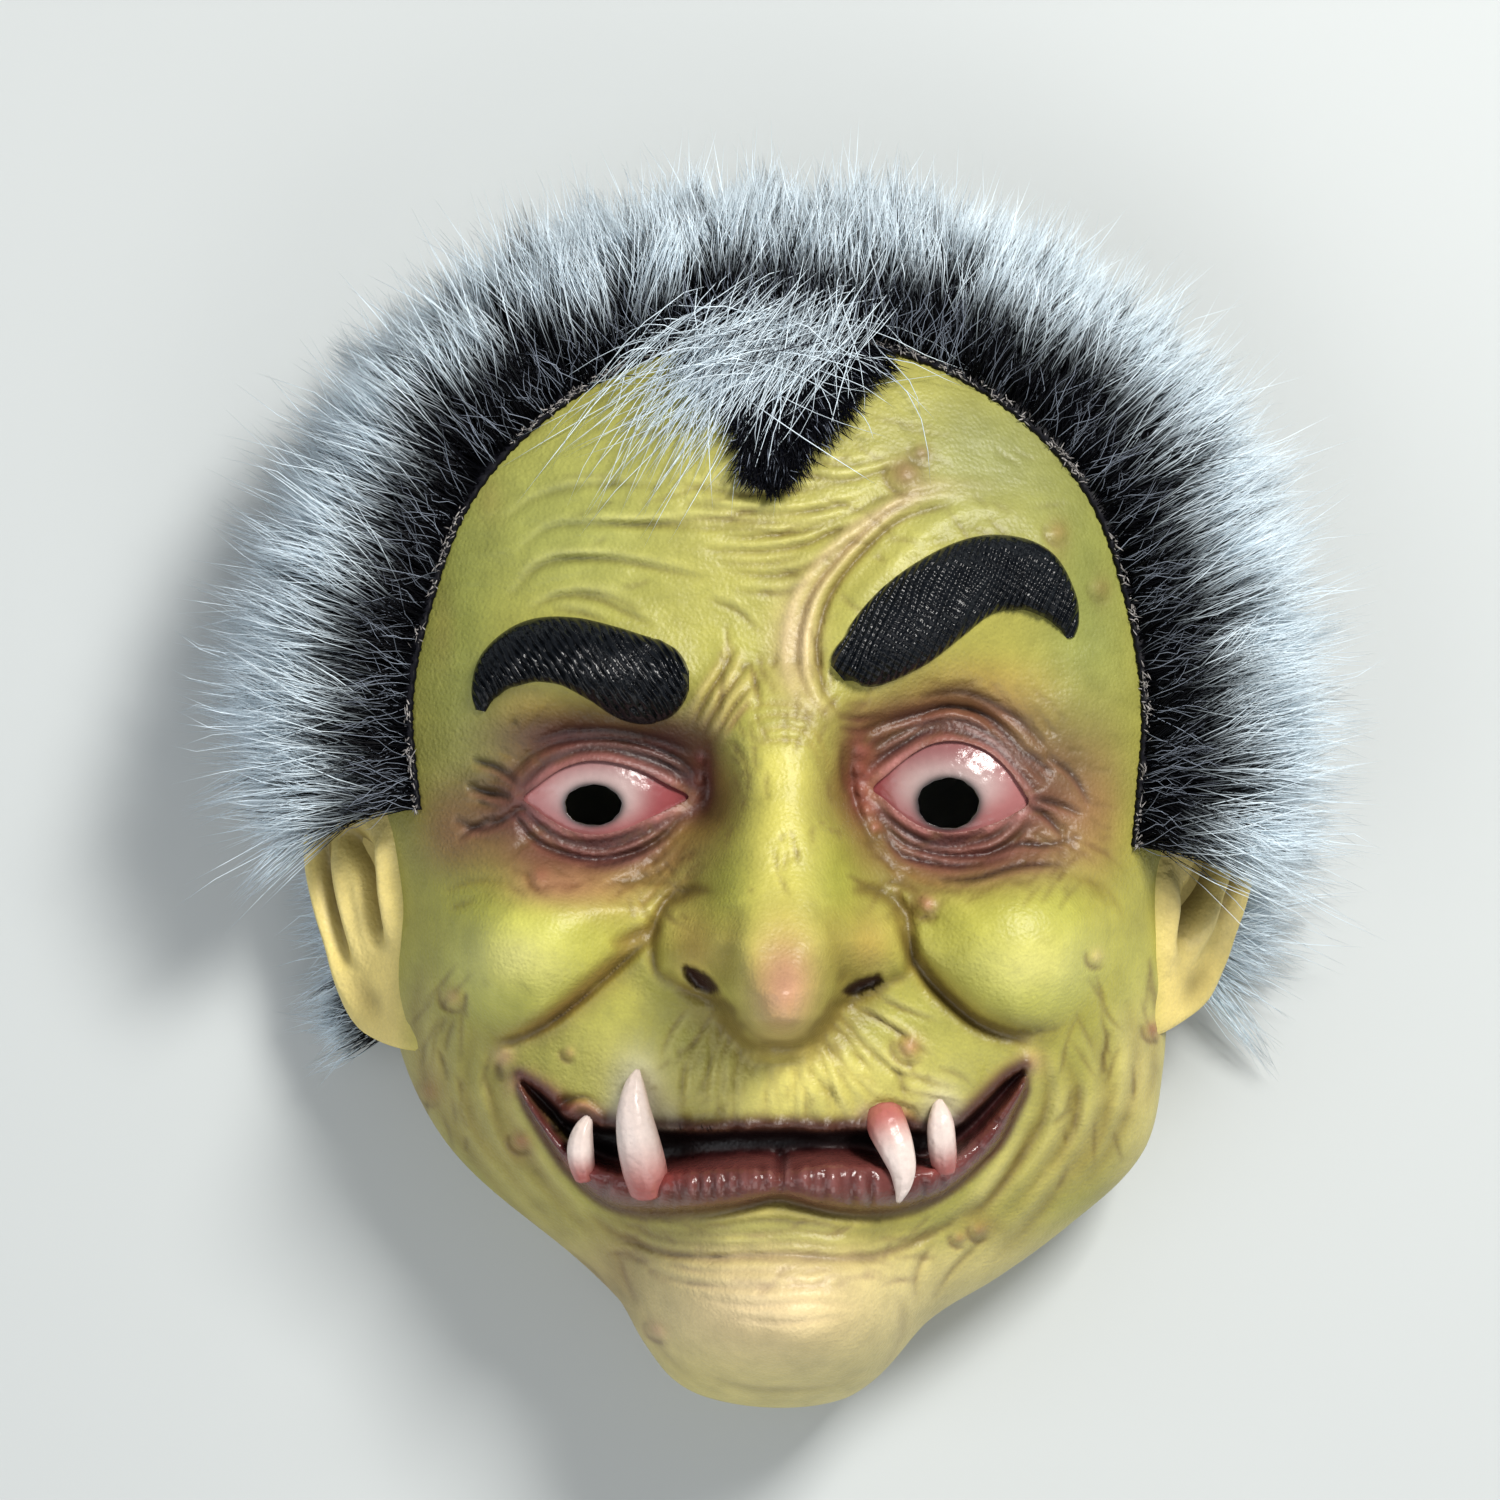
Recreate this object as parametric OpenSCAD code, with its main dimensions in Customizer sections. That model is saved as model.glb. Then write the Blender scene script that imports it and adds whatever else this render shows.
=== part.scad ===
// Latex monster mask with a faux-fur wig and an elastic head strap.
// It lies face up on its cut rim: +X runs to the right as the face is looked at from above,
// +Y points to the crown and +Z points out of the face. The origin is the middle of the box it fills,
// on the plane of the rim.

/* [Shell] */
// Thickness of the latex
skin_t = 2.4; // [1.6:0.1:3]
// Height of the widest line of the head above the rim
widest_z = 26; // [20:1:32]
// Height of the plain dome of the face above that line
dome_h = 48; // [40:1:56]
// How far the rim tucks in under the widest line, as a share of the radius
rim_tuck = 0.05; // [0:0.01:0.08]

/* [Face] */
// Height of the nose above the face
nose_h = 40; // [28:1:44]
// Height of the cheek bulges
cheek_h = 13; // [6:1:16]
// Height of the chin
chin_h = 26; // [18:1:30]
// Radius of each eye dome's edge
eye_edge_r = 15.7; // [14:0.1:17]
// Radius of the smaller sight hole
sight_r_left = 5; // [4:0.1:6]
// Radius of the larger sight hole
sight_r_right = 6; // [5:0.1:7]
// How far the brows stand out of the skin
brow_t = 4; // [2:0.5:6]

/* [Ears] */
// Angle between each ear and the table
ear_tilt = 45; // [35:1:50]
// Thickness of the ears
ear_t = 5; // [3:0.5:6]

/* [Wig] */
// Where the hairline lies, as a share of the outline's radius
hairline = 0.88; // [0.86:0.01:0.9]
// Thickness of the pile at the hairline
pile_front = 7; // [4:1:9]
// Thickness of the pile over the crown
pile_crown = 21.4; // [16:0.1:24]
// Thickness of the pile over the temples
pile_side = 27.5; // [20:0.5:30]

/* [Strap] */
// Width of the elastic
band_w = 16; // [12:1:18]
// Thickness of the elastic
band_t = 1.2; // [0.8:0.1:1.6]
// How far the loose strap reaches from its anchors
strap_reach = 42; // [34:1:50]
// Half the length that the slider can travel along the strap
slider_travel = 18; // [8:1:18]

/* [Hidden] */
around = 72;                 // facets round the head
gap = 0.3;                   // clearance between pieces that lie against each other
dome_m = 2.6;                // exponents of the dome's profile
dome_n = 1.8;
fade_from = 0.85;            // the relief fades out between this share of the radius and the outline

// The head's outline about the bridge of the nose: [angle, radius].
OUTLINE = [[0, 89], [15, 93.6], [30, 99.6], [45, 108], [60, 113], [75, 115.2], [90, 115.1], [105, 115],
           [120, 112], [135, 107.5], [150, 100], [165, 95], [180, 90], [195, 90], [210, 100],
           [225, 107], [243, 111], [252, 117.5], [256, 125.5], [259.5, 132], [263, 135], [270, 136.4],
           [276, 135.2], [279.5, 131.5], [286, 121.5], [294, 118], [304, 115.5], [316, 113.5],
           [325, 105], [332, 98.5], [345, 90], [360, 89]];

// Rows of the nose from its root to its tip: [y, height as a share, half width].
NOSE = [[-57, 0, 6], [-53, 0.16, 7], [-50, 0.55, 8], [-46, 0.9, 9.5], [-40, 1, 11], [-30, 0.86, 12.5],
        [-15, 0.6, 12], [0, 0.4, 11], [15, 0.22, 10], [30, 0.05, 12], [40, 0, 14]];

// Soft bulges and hollows of the face: [x, y, spread in x, spread in y, turn, height].
BULGES = [[-57, -30, 15, 16, 0, cheek_h], [56, -29, 15, 16, 0, cheek_h],
          [-19, -32, 7, 7, 0, 13], [19, -31, 7, 7, 0, 13],
          [0, -62, 36, 13, 0, 9], [0, -84, 34, 6, 0, 6], [2, -114, 21, 15, 0, chin_h],
          [-43, 29, 20, 8, -6, 6], [37, 42, 22, 9, 32, 7], [0, 62, 42, 22, 0, 3],
          [-38, 2, 15, 8, 0, -6], [37, 3, 15, 10, 0, -6]];

left_eye = [-38.5, 0];
right_eye = [37, 1.5];
left_pupil = [-40.8, -1];
right_pupil = [36.6, -0.6];

anchor_y = 6;                // the strap swings about the line through its two rivets
anchor_x = 77.5;
band_z = 12;                 // the middle of the band stands this far above the rim
corner_r = 14;
layer_gap = 3.6;             // between the middles of two layers of elastic
wire_r = 1.1;                // of the ring
ring_y = anchor_y + 24;      // the ring's bar in the strap's loop
ring_w = 9;                  // between the ring's two bars
rivet_r = 1.9;
rivet_head_r = 4.5;
tail_x = -34;                // where the doubled-back elastic ends

function smooth(t) = let (u = min(1, max(0, t))) u * u * (3 - 2 * u);

// Index of the last row of a sorted table whose first value is at or under x.
function row_at(table, x, k = 0) = k >= len(table) - 2 || x < table[k + 1][0] ? k : row_at(table, x, k + 1);

// The outline's radius at angle a: a cubic through the table's rows.
function outline_r(a) =
    let (n = len(OUTLINE) - 1, b = a - 360 * floor(a / 360), k = row_at(OUTLINE, b),
         p = OUTLINE[k], q = OUTLINE[k + 1],
         o = k > 0 ? OUTLINE[k - 1] : OUTLINE[n - 1] - [360, 0],
         s = k < n - 1 ? OUTLINE[k + 2] : OUTLINE[1] + [360, 0],
         w = q[0] - p[0], t = (b - p[0]) / w,
         m0 = (q[1] - o[1]) / (q[0] - o[0]) * w, m1 = (s[1] - p[1]) / (s[0] - p[0]) * w)
    (2 * t^3 - 3 * t^2 + 1) * p[1] + (t^3 - 2 * t^2 + t) * m0 + (3 * t^2 - 2 * t^3) * q[1] + (t^3 - t^2) * m1;

function bulge(x, y, b) =
    let (dx = x - b[0], dy = y - b[1], u = (dx * cos(b[4]) + dy * sin(b[4])) / b[2],
         v = (dy * cos(b[4]) - dx * sin(b[4])) / b[3])
    b[5] * exp(-(u * u + v * v) / 2);

function nose(x, y) =
    let (k = row_at(NOSE, y), p = NOSE[k], q = NOSE[k + 1], t = min(1, max(0, (y - p[0]) / (q[0] - p[0]))),
         h = p[1] + (q[1] - p[1]) * t, w = p[2] + (q[2] - p[2]) * t)
    nose_h * h * exp(-pow(abs(x) / w, 2.4) * 0.7);

function sum_of(v, k = 0) = k >= len(v) ? 0 : v[k] + sum_of(v, k + 1);
function relief(x, y) = nose(x, y) + sum_of([for (b = BULGES) bulge(x, y, b)]);
function fade(share) = share <= fade_from ? 1 : sqrt(max(0, 1 - pow((share - fade_from) / (1 - fade_from), 2)));

// A point of the outer surface. t runs from 0 at the bridge of the nose to 1 at the widest line
// and on to 2 at the rim.
function share_of(t) = t <= 1 ? pow(sin(90 * t), 2 / dome_m) : 1 - rim_tuck * (t - 1)^2;
function skin_point(a, t) =
    let (share = share_of(t), r = outline_r(a) * share, x = r * cos(a), y = r * sin(a))
    [x, y, t <= 1 ? widest_z + dome_h * pow(cos(90 * t), 2 / dome_n) + relief(x, y) * fade(share)
                  : widest_z * (2 - t)];
function normal(a, t) =
    let (e = 0.004, u = skin_point(a + 1, t) - skin_point(a - 1, t),
         v = skin_point(a, min(2, t + e)) - skin_point(a, t - e), n = cross(v, u))
    n / norm(n);
function above(a, t, d) = skin_point(a, t) + d * normal(a, t);
function on_table(p, z = 0) = [p[0], p[1], max(z, p[2])];

// Height of the plain outer surface over a place on the face.
function angle_of(p) = atan2(p[1], p[0]);
function height_at(p) =
    let (share = norm(p) / outline_r(angle_of(p)))
    widest_z + dome_h * pow(1 - pow(share, dome_m), 1 / dome_n) + relief(p[0], p[1]) * fade(share);

// A closed solid between two grids of points of the same size.
function grid_faces(rows, cols, first, flip) =
    [for (i = [0 : rows - 2], j = [0 : cols - 2])
        let (a = first + i * cols + j, b = a + 1, c = a + cols, d = c + 1)
        each flip ? [[a, c, b], [b, c, d]] : [[a, b, c], [b, d, c]]];
module slab(top, bottom) {
    rows = len(top);
    cols = len(top[0]);
    n = rows * cols;
    points = concat([for (r = top) each r], [for (r = bottom) each r]);
    edge = concat([for (j = [0 : cols - 1]) j], [for (i = [1 : rows - 1]) i * cols + cols - 1],
                  [for (j = [cols - 2 : -1 : 0]) (rows - 1) * cols + j], [for (i = [rows - 2 : -1 : 1]) i * cols]);
    m = len(edge);
    sides = [for (k = [0 : m - 1]) let (a = edge[k], b = edge[(k + 1) % m])
                each [[a, b, a + n], [b, b + n, a + n]]];
    polyhedron(points, concat(grid_faces(rows, cols, 0, true), grid_faces(rows, cols, n, false), sides));
}

// A patch of thickness that follows the head: from angle a0 to a1 and from t0 to t1.
module patch(a0, a1, t0, t1, low, high, steps_a, steps_t) {
    as = [for (i = [0 : steps_a]) a0 + (a1 - a0) * i / steps_a];
    ts = [for (j = [0 : steps_t]) t0 + (t1 - t0) * j / steps_t];
    slab([for (a = as) [for (t = ts) on_table(above(a, t, high(a, t)), 0.6)]],
         [for (a = as) [for (t = ts) on_table(above(a, t, low), 0.6)]]);
}

// Rings of the shell, from the middle to the rim.
RINGS = concat([for (k = [1 : 17]) k / 17], [1.33, 1.66, 2]);

// The head as a filled solid, its surface moved out by d.
module head_solid(d) {
    rings = [for (t = RINGS) [for (i = [0 : around - 1]) above(i * 360 / around, t, d)]];
    n = len(RINGS);
    top = above(0, 0.01, d);
    points = concat([[0, 0, top[2]]], [for (r = rings) each r],
                    [for (p = rings[n - 1]) [p[0], p[1], -6]]);
    polyhedron(points, concat(
        [for (i = [0 : around - 1]) [0, 1 + (i + 1) % around, 1 + i]],
        [for (j = [0 : n - 1], i = [0 : around - 1])
            let (a = 1 + j * around + i, b = 1 + j * around + (i + 1) % around, c = a + around, e = b + around)
            each [[a, b, c], [b, e, c]]],
        [[for (i = [0 : around - 1]) 1 + n * around + i]]));
}

// The shell: the outer surface, and an inner one skin_t inside it.
module shell() {
    n = len(RINGS);
    outer = [for (t = RINGS) [for (i = [0 : around - 1]) skin_point(i * 360 / around, t)]];
    inner = [for (t = RINGS) [for (i = [0 : around - 1])
                let (p = above(i * 360 / around, t, -skin_t)) t == 2 ? [p[0], p[1], 0] : p]];
    top = skin_point(0, 0.01);
    layer = 1 + n * around;
    points = concat([[0, 0, top[2]]], [for (r = outer) each r],
                    [[0, 0, top[2] - skin_t]], [for (r = inner) each r]);
    cap = [for (i = [0 : around - 1]) [0, 1 + (i + 1) % around, 1 + i]];
    wall = [for (j = [0 : n - 2], i = [0 : around - 1])
               let (a = 1 + j * around + i, b = 1 + j * around + (i + 1) % around, c = a + around, e = b + around)
               each [[a, b, c], [b, e, c]]];
    inside = [for (f = concat(cap, wall)) [f[0] + layer, f[2] + layer, f[1] + layer]];
    last = 1 + (n - 1) * around;
    rim = [for (i = [0 : around - 1])
              let (a = last + i, b = last + (i + 1) % around) each [[a, b, a + layer], [b, b + layer, a + layer]]];
    polyhedron(points, concat(cap, wall, inside, rim));
}

// A row of round-ended strokes through [x, y, radius] points, seen from above.
module stroke(points) {
    for (k = [0 : len(points) - 2])
        hull() {
            translate([points[k][0], points[k][1]]) circle(points[k][2], $fn = 24);
            translate([points[k + 1][0], points[k + 1][1]]) circle(points[k + 1][2], $fn = 24);
        }
}

// What stands out of the skin by up to d, within a flat outline.
module raised(d, lift = gap) {
    difference() {
        intersection() {
            linear_extrude(140) children();
            head_solid(d);
        }
        head_solid(lift);
    }
}

module latex_skin() color([0.70, 0.68, 0.28])
    difference() {
        shell();
        for (c = [left_eye, right_eye])
            translate([c[0], c[1], 45]) cylinder(r = eye_edge_r + gap, h = 60, $fn = 48);
        for (side = [-1, 1])
            rivet_bore(side, rivet_r + 0.1);
    }

LEFT_BROW = [[-64, 23, 2.5], [-61, 29, 5], [-54, 32.5, 6.5], [-46, 32.5, 7], [-38, 30, 7.5], [-31, 26.5, 8.5],
             [-28, 25.5, 8.5], [-26, 26, 6.5], [-24, 27, 5.5]];
RIGHT_BROW = [[62, 38.5, 2.5], [60, 44, 5], [55, 47.5, 7], [48, 48.5, 8], [41, 47.5, 8], [33, 42, 8],
              [26, 36, 8.5], [19, 31, 7], [15, 28, 4.5]];
module brow_left() color([0.04, 0.04, 0.06]) raised(brow_t) stroke(LEFT_BROW);
module brow_right() color([0.04, 0.04, 0.06]) raised(brow_t) stroke(RIGHT_BROW);

// An eye dome: a shallow ball cap with the sight hole cut through it.
module eye_dome(centre, pupil, sight_r) {
    ball_r = 22;
    wall = 1.8;
    top = height_at(centre) + 3.5;
    color([0.92, 0.86, 0.85])
    difference() {
        intersection() {
            translate([centre[0], centre[1], top - ball_r]) sphere(ball_r, $fn = 96);
            translate([centre[0], centre[1], top - 12]) cylinder(r = eye_edge_r, h = 20, $fn = 96);
        }
        translate([centre[0], centre[1], top - ball_r]) sphere(ball_r - wall, $fn = 96);
        translate([pupil[0], pupil[1], top - 20]) cylinder(r = sight_r, h = 40, $fn = 48);
    }
}
module eye_left() eye_dome(left_eye, left_pupil, sight_r_left);
module eye_right() eye_dome(right_eye, right_pupil, sight_r_right);

// A curved fang from its root to its tip: points are [x, y, lift over the skin, radius].
module fang(points) color([0.9, 0.8, 0.76])
    difference() {
        for (k = [0 : len(points) - 2])
            hull() for (p = [points[k], points[k + 1]])
                translate([p[0], p[1], height_at(p) + p[2]]) sphere(p[3], $fn = 14);
        head_solid(0.1);
    }
function arc_fang(root, tip, side, r, rise) =
    [for (k = [0 : 8]) let (t = k / 8, m = sin(180 * t))
        [root[0] + (tip[0] - root[0]) * t + side[0] * m, root[1] + (tip[1] - root[1]) * t + side[1] * m,
         rise * (0.5 + m * 0.9 + t * 0.2), max(0.5, r * (0.92 + 0.5 * t - 1.35 * t * t))]];
module fang_left_outer() fang(arc_fang([-42, -79], [-41.5, -70], [-1, 0], 2.7, 2));
module fang_left_inner() fang(arc_fang([-29.5, -79], [-31, -59.5], [-0.8, 0], 4.6, 2.6));
module fang_right_inner() fang(arc_fang([22.5, -71], [25.3, -86.5], [2, 0.6], 3.8, 2.4));
module fang_right_outer() fang(arc_fang([35, -77], [34.2, -66], [1, 0], 2.8, 2));

// An ear: a flat shape in its own plane, u out from the head and v towards the crown, turned about the head's side.
EAR = [[9, -46, 6], [12, -38, 9], [15, -27, 11], [17, -14, 14], [18, -2, 15], [19, 3, 12], [14, 8, 7],
       [8, 2, 6], [6, -10, 5], [5, -24, 5]];
module ear(side, grow = 0) {
    difference() {
        translate([side * 82.5, 0, 42]) mirror([side < 0 ? 1 : 0, 0, 0]) rotate([0, ear_tilt, 0])
            translate([0, 0, -ear_t - grow]) difference() {
                linear_extrude(ear_t + 2 * grow) offset(delta = grow) stroke(EAR);
                if (grow == 0) translate([0, 0, ear_t - 2])
                    linear_extrude(4) stroke([[11, -25, 3], [17, -16, 5], [21, -4, 5], [20, 3, 3]]);
            }
        if (grow == 0) head_solid(0.15);
    }
}
module ear_left() color([0.80, 0.74, 0.40]) ear(-1);
module ear_right() color([0.80, 0.74, 0.40]) ear(1);

// Thickness of the pile: thin at the hairline, full from the widest line down.
function pile(a, t, full) =
    let (start = t_of(hairline)) pile_front + (full - pile_front) * smooth((t - start) / (1 - start));
function t_of(share) = asin(pow(share, dome_m / 2)) / 90;
function full_at(a) = let (s = pow(abs(cos(a)), 1.5)) pile_crown + (pile_side - pile_crown) * s;
fur_black = [0.16, 0.16, 0.20];
module fur_panel(a0, a1, steps, side = 0) color(fur_black)
    difference() {
        patch(a0, a1, t_of(hairline), 1.95, gap, function (a, t) pile(a, t, full_at(a)), steps, 12);
        if (side != 0) {
            ear(side, gap);
            across(side, 85, 90.7, rivet_head_r + gap);
        }
    }
module fur_crown() fur_panel(62, 112, 12);
module fur_side_left() fur_panel(112.4, 182, 16, -1);
module fur_side_right() fur_panel(-8, 61.6, 16, 1);
module fur_nape(a0, a1, side) color(fur_black)
    difference() {
        patch(a0, a1, 1.35, 1.95, gap, function (a, t) 15, 8, 4);
        ear(side, gap);
    }
module fur_nape_left() fur_nape(182.5, 212, -1);
module fur_nape_right() fur_nape(-22, -8.5, 1);
PEAK = [[-1, 98, 17], [-1, 90, 11], [-1.5, 82, 7], [-2, 75, 5], [-2.5, 71, 3.2]];
module fur_peak() color(fur_black)
    raised(pile_front - 1) difference() {
        stroke(PEAK);
        difference() {
            circle(300, $fn = 90);
            polygon([for (i = [0 : 89]) outline_r(i * 4) * (hairline - 0.012) * [cos(i * 4), sin(i * 4)]]);
        }
    }

// Cloth patches glued inside the side walls, under the rivets.
module anchor_patch(a, side) color([0.85, 0.83, 0.76])
    difference() {
        patch(a - 9, a + 9, 1.12, 1.9, -skin_t - 1.45, function (a, t) -skin_t - 0.45, 8, 5);
        rivet_bore(side, rivet_r + 0.1);
    }
module anchor_patch_left() anchor_patch(180 - 4, -1);
module anchor_patch_right() anchor_patch(4, 1);

// A cylinder along X through a rivet's place.
module across(side, x0, x1, r, y = anchor_y)
    translate([side > 0 ? x0 : -x1, y, band_z]) rotate([0, 90, 0]) cylinder(r = r, h = x1 - x0, $fn = 48);
module rivet_bore(side, r) across(side, anchor_x - 10, 100, r);

// Each rivet: a shaft through skin, patch and strap with a disc at both ends.
module rivet(side, layers) color([0.72, 0.70, 0.66]) {
    head_x = anchor_x - (layers - 1) * layer_gap - band_t / 2 - 0.3;
    across(side, head_x - 1.2, 90.4, rivet_r);
    across(side, head_x - 1.2, head_x, rivet_head_r);
    across(side, anchor_x + band_t / 2 + 0.3, anchor_x + band_t / 2 + 1.3, rivet_head_r);
    across(side, 89.4, 90.4, rivet_head_r);
}
module rivet_left() rivet(-1, 1);
module rivet_right() rivet(1, 2);

// One quarter of a ring in plan, turned to start at angle a.
module quarter(x, y, r, a)
    translate([x, y]) rotate(a) intersection() {
        difference() {
            circle(r + band_t / 2, $fn = 96);
            circle(r - band_t / 2, $fn = 96);
        }
        square(r + band_t);
    }
// A straight length of band in plan.
module run(x0, y0, x1, y1)
    translate([min(x0, x1) - (x0 == x1 ? band_t / 2 : 0), min(y0, y1) - (y0 == y1 ? band_t / 2 : 0)])
        square([max(abs(x1 - x0), band_t), max(abs(y1 - y0), band_t)]);
module on_edge() translate([0, 0, band_z - band_w / 2]) linear_extrude(band_w) children();

top_y = anchor_y + strap_reach;
inner_x = anchor_x - layer_gap;
module elastic_strap() color([0.09, 0.09, 0.10]) {
    difference() {
        union() {
            on_edge() run(-anchor_x, anchor_y, -anchor_x, top_y - corner_r);
            across(-1, anchor_x - band_t / 2, anchor_x + band_t / 2, band_w / 2);
        }
        across(-1, anchor_x - 3, anchor_x + 3, rivet_r + 0.08);
    }
    on_edge() {
        quarter(-anchor_x + corner_r, top_y - corner_r, corner_r, 90);
        run(-anchor_x + corner_r, top_y, anchor_x - corner_r, top_y);
        quarter(anchor_x - corner_r, top_y - corner_r, corner_r, 0);
        run(anchor_x, top_y - corner_r, anchor_x, ring_y);
        quarter(anchor_x - layer_gap / 2, ring_y, layer_gap / 2, 270);
        quarter(anchor_x - layer_gap / 2, ring_y, layer_gap / 2, 180);
        run(inner_x, ring_y, inner_x, top_y - corner_r);
        quarter(anchor_x - corner_r, top_y - corner_r, corner_r - layer_gap, 0);
        run(anchor_x - corner_r, top_y - layer_gap, tail_x, top_y - layer_gap);
    }
}

module ring_tab() color([0.09, 0.09, 0.10]) {
    low_y = ring_y - ring_w;
    for (x = [anchor_x, inner_x])
        difference() {
            union() {
                on_edge() run(x, anchor_y, x, low_y);
                across(1, x - band_t / 2, x + band_t / 2, band_w / 2);
            }
            across(1, x - 3, x + 3, rivet_r + 0.08);
        }
    on_edge() {
        quarter(anchor_x - layer_gap / 2, low_y, layer_gap / 2, 0);
        quarter(anchor_x - layer_gap / 2, low_y, layer_gap / 2, 90);
    }
}

// A rectangular wire ring standing between the tab's loop and the strap's loop.
module strap_ring() color([0.72, 0.72, 0.74]) {
    half = band_w / 2 + 0.2 + wire_r;
    x = anchor_x - layer_gap / 2;
    for (y = [ring_y, ring_y - ring_w])
        translate([x, y, band_z - half]) cylinder(r = wire_r, h = 2 * half, $fn = 32);
    for (z = [band_z - half, band_z + half]) {
        translate([x, ring_y - ring_w, z]) rotate([-90, 0, 0]) cylinder(r = wire_r, h = ring_w, $fn = 32);
        for (y = [ring_y, ring_y - ring_w])
            translate([x, y, z]) sphere(wire_r, $fn = 32);
    }
}

// A two-slot slider threaded on both layers of the strap.
module strap_slider() color([0.12, 0.12, 0.13]) {
    slot = band_t + 2 * gap;
    wall = 1.4;
    deep = layer_gap + slot + 2 * wall;
    high = band_w + 2 * gap + 2 * wall;
    translate([0, top_y - layer_gap / 2, band_z])
        difference() {
            cube([14, deep, high], center = true);
            for (y = [-layer_gap / 2, layer_gap / 2])
                translate([0, y, 0]) cube([16, slot, band_w + 2 * gap], center = true);
        }
}

latex_skin();
ear_left();
ear_right();
brow_left();
brow_right();
eye_left();
eye_right();
fang_left_outer();
fang_left_inner();
fang_right_inner();
fang_right_outer();
fur_peak();
fur_crown();
fur_side_left();
fur_side_right();
fur_nape_left();
fur_nape_right();
anchor_patch_left();
anchor_patch_right();
rivet_left();
rivet_right();
elastic_strap();
ring_tab();
strap_ring();
strap_slider();
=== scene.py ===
import math

import bmesh
import bpy
import numpy as np
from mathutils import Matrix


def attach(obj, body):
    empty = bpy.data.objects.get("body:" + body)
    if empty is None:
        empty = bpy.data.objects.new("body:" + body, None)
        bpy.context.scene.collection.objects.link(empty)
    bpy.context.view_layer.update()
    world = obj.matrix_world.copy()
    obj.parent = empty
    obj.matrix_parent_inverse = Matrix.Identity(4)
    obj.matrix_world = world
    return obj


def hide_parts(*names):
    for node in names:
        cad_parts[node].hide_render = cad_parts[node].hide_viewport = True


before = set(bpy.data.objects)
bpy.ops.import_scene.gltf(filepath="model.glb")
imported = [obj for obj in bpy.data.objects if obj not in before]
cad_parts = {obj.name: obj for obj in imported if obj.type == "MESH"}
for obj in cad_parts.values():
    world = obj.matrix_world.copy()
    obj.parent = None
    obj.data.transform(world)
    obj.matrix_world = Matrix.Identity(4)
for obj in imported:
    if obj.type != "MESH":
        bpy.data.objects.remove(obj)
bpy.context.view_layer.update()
rng = np.random.default_rng(31)
MM = 0.001


# ---------------------------------------------------------------------------------------------------
# Camera, light and floor: the mask lies on its rim and is looked at from straight above, with its
# crown at the top of the view. Soft light comes from the upper right and leaves a shadow at the jaw.
camera_height = 1.55
view_width = 0.330
aim = (-0.0066, 0.011)
face_plane = 0.055
camera = bpy.data.cameras.new("camera")
camera.sensor_width = 36.0
camera.lens = camera.sensor_width * (camera_height - face_plane) / view_width
camera_stand = bpy.data.objects.new("camera", camera)
camera_stand.location = (aim[0], aim[1], camera_height)
bpy.context.collection.objects.link(camera_stand)
bpy.context.scene.camera = camera_stand


def area_light(name, place, target, size, power, tint):
    """A square soft light at a place, turned to face a target."""
    lamp = bpy.data.lights.new(name, "AREA")
    lamp.size, lamp.energy, lamp.color = size, power, tint
    holder = bpy.data.objects.new(name, lamp)
    holder.location = place
    x, y, z = (t - p for t, p in zip(target, place))
    holder.rotation_euler = (math.atan2(math.hypot(x, y), -z), 0, math.atan2(y, x) - math.pi / 2)
    bpy.context.collection.objects.link(holder)


area_light("key_light", (0.62, 0.78, 1.15), (0, 0, 0.04), 0.42, 30, (1.0, 0.97, 0.93))
area_light("fill_light", (-0.9, -0.35, 1.0), (0, 0, 0.04), 1.2, 7, (0.93, 0.96, 1.0))
area_light("low_light", (0.25, -0.95, 0.75), (0, 0, 0.04), 0.9, 5, (1.0, 0.98, 0.96))
sky = bpy.data.worlds.new("studio")
sky.use_nodes = True
sky.node_tree.nodes["Background"].inputs["Color"].default_value = (0.93, 0.95, 1.0, 1)
sky.node_tree.nodes["Background"].inputs["Strength"].default_value = 0.26
bpy.context.scene.world = sky
bpy.context.scene.view_settings.view_transform = "Standard"


def solid_mesh(name, points, faces, smooth=True):
    """A mesh object from points in millimetres and a list or array of faces."""
    mesh = bpy.data.meshes.new(name)
    mesh.from_pydata((np.asarray(points, float) * MM).tolist(), [], [tuple(f) for f in faces])
    mesh.validate()
    if smooth:
        mesh.shade_smooth()
    thing = bpy.data.objects.new(name, mesh)
    bpy.context.collection.objects.link(thing)
    return thing


def finish_node(material, kind, **inputs):
    """A shader node of a kind, its sockets set by name, index or name with spaces for underscores."""
    node = material.node_tree.nodes.new(kind)
    for key, value in inputs.items():
        if key in ("operation", "data_type", "blend_type", "attribute_name", "noise_dimensions",
                   "feature", "wave_type", "bands_direction", "interpolation_type", "distance_metric"):
            setattr(node, key, value)
        else:
            name = key.replace("_", " ")
            socket = node.inputs[int(key[1:])] if key[0] == "i" and key[1:].isdigit() else node.inputs[name]
            if isinstance(value, bpy.types.NodeSocket):
                material.node_tree.links.new(value, socket)
            else:
                socket.default_value = value
    return node


def new_finish(name, **settings):
    """A node material and its main shader, with plain values set on the shader's own sockets."""
    material = bpy.data.materials.new(name)
    material.use_nodes = True
    shader = material.node_tree.nodes["Principled BSDF"]
    for key, value in settings.items():
        shader.inputs[key.replace("_", " ")].default_value = value
    return material, shader


def connect(material, source, target):
    material.node_tree.links.new(source, target)


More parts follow.
